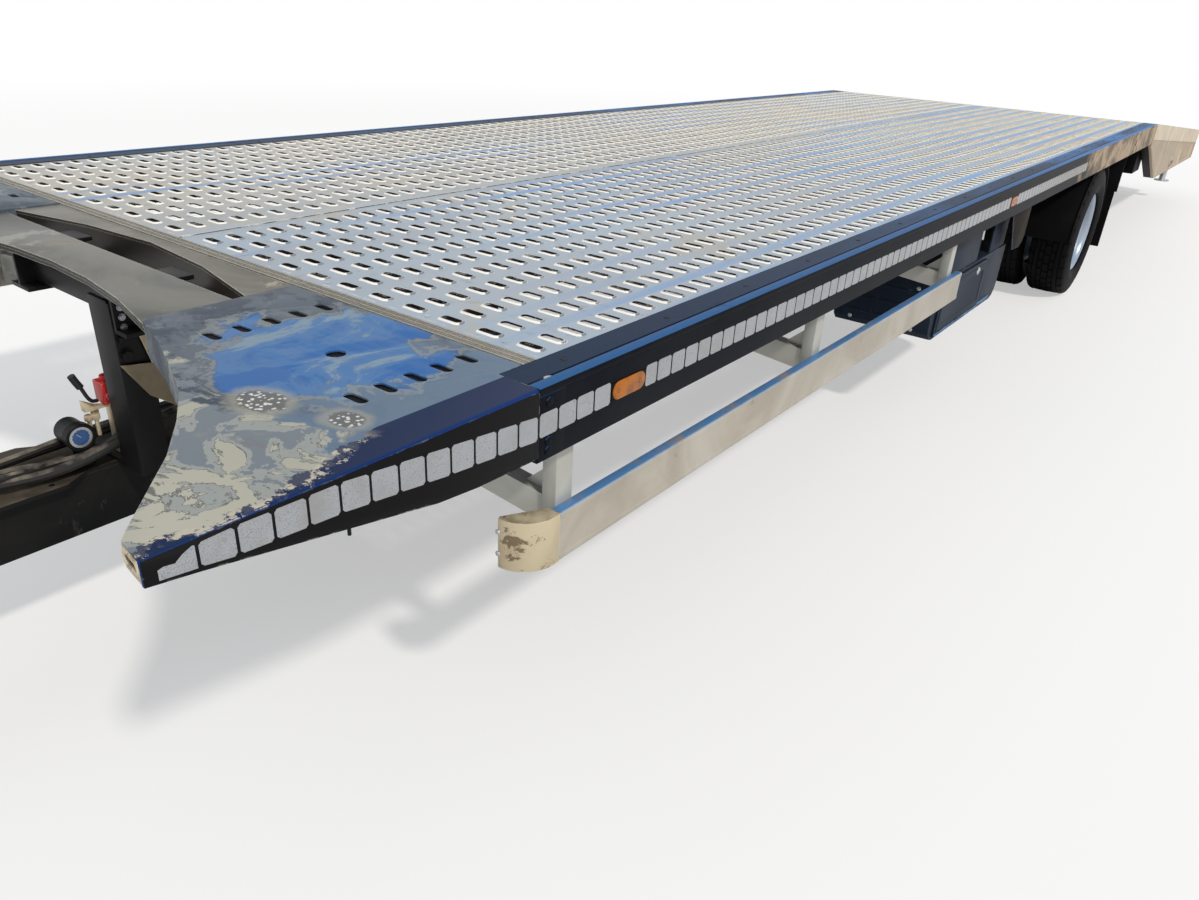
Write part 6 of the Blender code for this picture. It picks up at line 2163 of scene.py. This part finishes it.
@dataclass
class Toolbox:
    """The toolbox under each side with its door.

    Attributes:
        outer: The X place of the box's outer face.
        stations: Its front and rear.
        door: The stations and drops of the door's edges.
        lips: The drops of the two lips along the lower edge.
        shield_x: The X place of the shield before the wheel.
        shield: The station and drop of its corners.
    """

    outer: float = 1.185
    stations: Pair = (2.40, 3.37)
    door: tuple[float, float, float, float] = (2.47, 3.05, 0.355, 0.575)
    lips: Pair = (0.5640, 0.5715)
    shield_x: float = 1.228
    shield: tuple[Pair, ...] = ((3.14, 0.142), (3.455, 0.142), (3.482, 0.180), (3.482, 0.306), (3.462, 0.338),
                                (3.421, 0.353), (3.30, 0.348))

    def build(self) -> None:
        """Builds the box, its door, hinges and latches."""
        box = dressed("toolbox_left", 0.0025)
        front, rear = at(self.stations[0]), at(self.stations[1])
        # The lips' blue is a painted highlight along the box's lower edge.
        lips = self.lip_pair((self.outer - 0.001, at(self.door[1] + 0.008)), (self.outer + 0.006, rear - 0.12))
        pair(together("toolbox_lips_left", lips), BLUE_LIP)
        # The blue at the shield's edges is a painted highlight.
        outline = [point(self.shield_x, s, d) for s, d in self.shield]
        pair(extruded("wheel_shield_left", outline, (0.004, 0, 0), 0.0014), SHIELD)
        start, end = self.outer - 0.38, self.outer - 0.03
        ribs = [block("rib", (start, front - 0.0015, above(d)), (end, front + 0.004, above(d - 0.012)), 0.001)
                for d in (0.40, 0.46, 0.52)]
        pair(together("toolbox_left_shell", [box, *ribs]), BOX_PLASTIC, nodes=["toolbox_left"])
        ends = (self.outer - 0.33, self.outer - 0.07)
        rivets = [(x, front - 0.0005, above(d)) for x in ends for d in (0.375, 0.545)]
        pair(stamped("toolbox_rivets_left", round_head(0.009, 0.004), rivets, (0, -1, 0)), ZINC)
        self.doors()

    def lip_pair(self, low: Pair, high: Pair) -> list[bpy.types.Object]:
        """The two lips between two places in plan."""
        return [block("lip", (*low, above(drop + 0.003)), (*high, above(drop)), 0.0010) for drop in self.lips]

    def doors(self) -> None:
        """The door with a raised field, two latches and three hinges."""
        low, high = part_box("toolbox_door_left")
        door = block("toolbox_door_left_panel", low, (high[0] - 0.004, high[1], high[2]), 0)

        def fields() -> None:
            """Raises the door's field and sinks its middle."""
            choose(door, lambda face: face.normal.x > 0.9)
            bpy.ops.mesh.inset(thickness=0.014)
            bpy.ops.mesh.inset(thickness=0.005)
            bpy.ops.transform.translate(value=(0.0035, 0, 0))
            bpy.ops.mesh.inset(thickness=0.022)
            bpy.ops.mesh.inset(thickness=0.004)
            bpy.ops.transform.translate(value=(-0.003, 0, 0))

        in_edit(door, fields)
        bevelled(door, 0.0012, 2, 30)
        pair(door, BOX_PLASTIC, "toolbox_door_left", ["toolbox_door_left"])
        latches = []
        for station in (self.door[0] + 0.12, self.door[1] - 0.12):
            y, z = at(station), above(self.door[2] + 0.030)
            x = high[0] - 0.006
            latches.append(bar("latch", (x, y, z), (x + 0.0058, y, z), 0.017, 20, 0.001))
            latches.append(block("handle", (x, y - 0.026, z - 0.006), (x + 0.006, y + 0.026, z + 0.006), 0.0015))
        pair(together("toolbox_latches_left", latches), ZINC, "toolbox_door_left")
        hinges = []
        for station in (self.door[0] + 0.08, (self.door[0] + self.door[1]) / 2, self.door[1] - 0.08):
            y = at(station)
            x, z = low[0] + 0.004, low[2] + 0.004
            hinges.append(bar("knuckle", (x, y - 0.03, z), (x, y + 0.03, z), 0.004, 12))
            start, end = (high[0] - 0.005, y - 0.028, low[2]), (high[0] - 0.0015, y + 0.028, low[2] + 0.026)
            hinges.append(block("leaf", start, end, 0.0008))
        pair(together("toolbox_hinges_left", hinges), BLACK_PLASTIC_AND_SHADE, "toolbox_door_left")
        # The door lips' blue is a painted highlight.
        lips = self.lip_pair((high[0] - 0.0045, low[1] + 0.003), (high[0], high[1] - 0.003))
        pair(together("toolbox_door_lips_left", lips), BLUE_LIP, "toolbox_door_left")


@dataclass
class Tail:
    """The sloping tail's sides, lamps, legs and ramps.

    Attributes:
        recess: The station and drop of the corners of the sunk field in the side.
        depth: How deep it is sunk.
        hole: The station and drop of the middle of the hole in the side.
        half: Half the hole's length and width.
        flange: The station and drop of the corners of the folded front edge.
    """

    recess: tuple[Pair, ...] = ((6.90, 0.118), (10.36, 0.392), (10.36, 0.512), (7.63, 0.438), (6.90, 0.168))
    depth: float = 0.005
    hole: Pair = (8.606, 0.445)
    half: Pair = (0.150, 0.020)
    flange: tuple[Pair, ...] = ((6.815, 0.161), (7.60, 0.467), (7.60, 0.460), (6.815, 0.154))

    def build(self) -> None:
        """Builds the tail's pieces."""
        self.side()
        show(dressed("tail_lamp_bar", 0.0015), FRAME_PAINT, nodes=["tail_lamp_bar"])
        self.lamps()
        pair(dressed("rear_leg_left", 0.0012), ZINC, "rear_leg_left", ["rear_leg_left"])
        pair(dressed("loading_ramp_left", 0.0015), ZINC, "ramp_left", ["loading_ramp_left"])

    def side(self) -> None:
        """The side with its pale upper band, sunk field, hole and dark front flange."""
        sunk = HALF_WIDTH - self.depth
        outline = [point(sunk, s, d) for s, d in self.recess]
        low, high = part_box("tail_side_left")
        low = (HALF_WIDTH - 0.0006, low[1] - 0.01, low[2] - 0.01)
        high = (HALF_WIDTH + 0.01, high[1] + 0.01, high[2] + 0.01)
        pocket = extruded("pocket", outline, (0.02, 0, 0))
        side = cut(dressed("tail_side_left", 0), block("slab", low, high, 0), pocket)
        ring = oval((at(self.hole[0]), above(self.hole[1])), self.half)
        side = cut(side, extruded("hole", [(HALF_WIDTH - 0.03, y, z) for y, z in ring], (0.05, 0, 0)))
        pair(bevelled(side, 0.0012, 2, 30), TAN, nodes=["tail_side_left"])
        band = [(6.806, 0.002), (10.399, 0.2705), (10.399, 0.392), (6.806, 0.109)]
        skin = extruded("tail_band_left", [point(HALF_WIDTH - 0.0008, s, d) for s, d in band], (0.0008, 0, 0))
        pair(skin, CREAM)
        # The front flange is near black: painted shade.
        flange = [point(HALF_WIDTH - 0.075, s, d) for s, d in self.flange]
        pair(extruded("tail_flange_left", flange, (0.0545, 0, 0), 0.0008), BLACK_PLASTIC_AND_SHADE)
        case = block("tail_case_left", point(1.10, 6.95, 0.38), point(1.19, 7.25, 0.20), 0.006)
        pair(case, BLACK_PLASTIC_AND_SHADE)

    def lamps(self) -> None:
        """The tail lamps with their cases and lenses, and the reflectors on the bar."""
        low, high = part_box("tail_lamp_left")
        base = block("tail_lamp_left_case", low, (high[0], low[1] + 0.016, high[2]), 0.002)
        pair(base, BLACK_PLASTIC_AND_SHADE, nodes=["tail_lamp_left"])
        wide = high[0] - low[0] - 0.012
        lenses = (("red", RED, 0.0, 0.44), ("clear", CLEAR, 0.44, 0.66), ("amber", AMBER, 0.66, 1.0))
        for name, finish, start, stop in lenses:
            lens = block(f"tail_lens_{name}_left", (low[0] + 0.006 + start * wide, low[1] + 0.015, low[2] + 0.006),
                         (low[0] + 0.004 + stop * wide, high[1], high[2] - 0.006), 0)

            def crown() -> None:
                """Domes the lens a little."""
                choose(lens, lambda face: face.normal.y > 0.9)
                bpy.ops.mesh.inset(thickness=0.008)
                bpy.ops.transform.resize(value=(0.97, 1, 0.9))

            in_edit(lens, crown)
            bevelled(lens, 0.002, 2, 30)
            pair(lens, finish)
        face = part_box("tail_lamp_bar")[1][1]
        low, high = (0.66, face - 0.0005, above(0.510)), (0.74, face + 0.006, above(0.470))
        pair(block("rear_reflector_left", low, high, 0.002), RED)


@dataclass
class Studio:
    """The floor, the lamps and the camera at the photo's place.

    Attributes:
        place: The camera's place.
        azimuth: Its direction round the trailer in degrees.
        elevation: Its height above the horizon in degrees.
        roll: Its turn about the view in degrees.
        focal: The focal length in pixels of the photo.
    """

    place: Point = (2.1346, at(-1.116), 1.5167)
    azimuth: float = 35.8313
    elevation: float = 26.8279
    roll: float = 3.3742
    focal: float = 880.0

    def camera(self) -> None:
        """Places the camera."""
        data = bpy.data.cameras.new("camera")
        obj = linked("camera", data)
        a, e, r = (math.radians(v) for v in (self.azimuth, self.elevation, self.roll))
        back = Vector((math.sin(a) * math.cos(e), -math.cos(a) * math.cos(e), math.sin(e)))
        right = Axis.Z.value.cross(back).normalized()
        up = back.cross(right)
        across = right * math.cos(r) + up * math.sin(r)
        rise = up * math.cos(r) - right * math.sin(r)
        turn = Matrix((across, rise, back)).transposed().to_4x4()
        obj.matrix_world = Matrix.Translation(self.place) @ turn
        data.sensor_width = 36.0
        data.lens = data.sensor_width * self.focal / PHOTO_WIDTH
        data.clip_start = 0.01
        bpy.context.scene.camera = obj

    def lamp(self, name: str, power: float, size: float, place: Point, color: Color) -> None:
        """Adds one soft lamp that points at the trailer's middle.

        Args:
            name: The lamp's name.
            power: Its power.
            size: Its angular size in degrees.
            place: Where it shines from.
            color: Its colour.
        """
        data = bpy.data.lights.new(name, "SUN")
        data.energy, data.angle, data.color = power, math.radians(size), color
        obj = linked(name, data)
        obj.matrix_world = Vector(place).to_track_quat("Z", "Y").to_matrix().to_4x4()

    def world(self) -> None:
        """A plain pale world that shows white to the camera and in reflections."""
        world = bpy.data.worlds.new("studio")
        world.use_nodes = True
        bpy.context.scene.world = world
        graph = Graph(world.node_tree)
        rays = graph.add("LightPath").outputs
        seen = graph.math("MAXIMUM", rays["Is Camera Ray"], rays["Is Glossy Ray"])
        seen = graph.math("MAXIMUM", seen, rays["Is Transmission Ray"])
        light = graph.add("Background", {0: (0.93, 0.96, 1.0), 1: 0.50}).outputs[0]
        shown = graph.add("Background", {0: (1, 1, 1), 1: 1.0}).outputs[0]
        graph.add("OutputWorld", {0: graph.add("MixShader", {0: seen, 1: light, 2: shown}).outputs[0]})

    def floor(self) -> None:
        """The pale floor."""
        bpy.ops.object.select_all(action="DESELECT")
        bpy.ops.mesh.primitive_plane_add(size=120)
        floor = settled(bpy.context.object, "floor")
        material = bpy.data.materials.new("floor")
        material.use_nodes = True
        graph = Graph(material.node_tree)
        plain = graph.add("BsdfDiffuse", {"Color": (0.94, 0.94, 0.94)}).outputs[0]
        white = graph.add("Emission", {"Color": (1.0, 1.0, 1.0), "Strength": 1.0}).outputs[0]
        away = graph.add("VectorMath", {0: graph.coords()}, operation="LENGTH").outputs["Value"]
        share = graph.ramp(away, 8.0, 15.0, 0.45, 1.0)
        seen = graph.times(share, graph.add("LightPath").outputs["Is Camera Ray"])
        mixed = graph.add("MixShader", {0: seen, 1: plain, 2: white}).outputs[0]
        graph.add("OutputMaterial", {"Surface": mixed})
        floor.data.materials.append(material)

    def build(self) -> None:
        """Sets up the view, the world, the floor and the lamps."""
        scene = bpy.context.scene
        scene.view_settings.view_transform = "Standard"
        self.camera()
        self.world()
        self.floor()
        self.lamp("key", 2.0, 4.0, (1.0, -0.30, 1.1), (1.0, 0.96, 0.90))
        self.lamp("fill", 0.2, 30.0, (-0.8, -1.0, 1.2), (0.94, 0.97, 1.0))


def main() -> None:
    """Builds the trailer."""
    logging.basicConfig(level=logging.INFO, format="%(message)s")
    FRAME.update(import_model())
    build_effects()
    Studio().build()
    kinds = (SlottedDeck, SideRave, FrontWing, Nose, Chassis, Hanger, Drawbar, Jack, Wheel, Suspension, Mudguard,
             SideGuard, Toolbox, Tail)
    for kind in kinds:
        before = set(bpy.data.objects)
        kind().build()
        names = sorted(obj.name for obj in set(bpy.data.objects) - before)
        LOG.info("%s: %s", kind.__name__, ", ".join(names))
    for name, node in FRAME["nodes"].items():
        if not node.hide_render:
            LOG.info("still shown: %s", name)


if __name__ == "__main__":
    main()
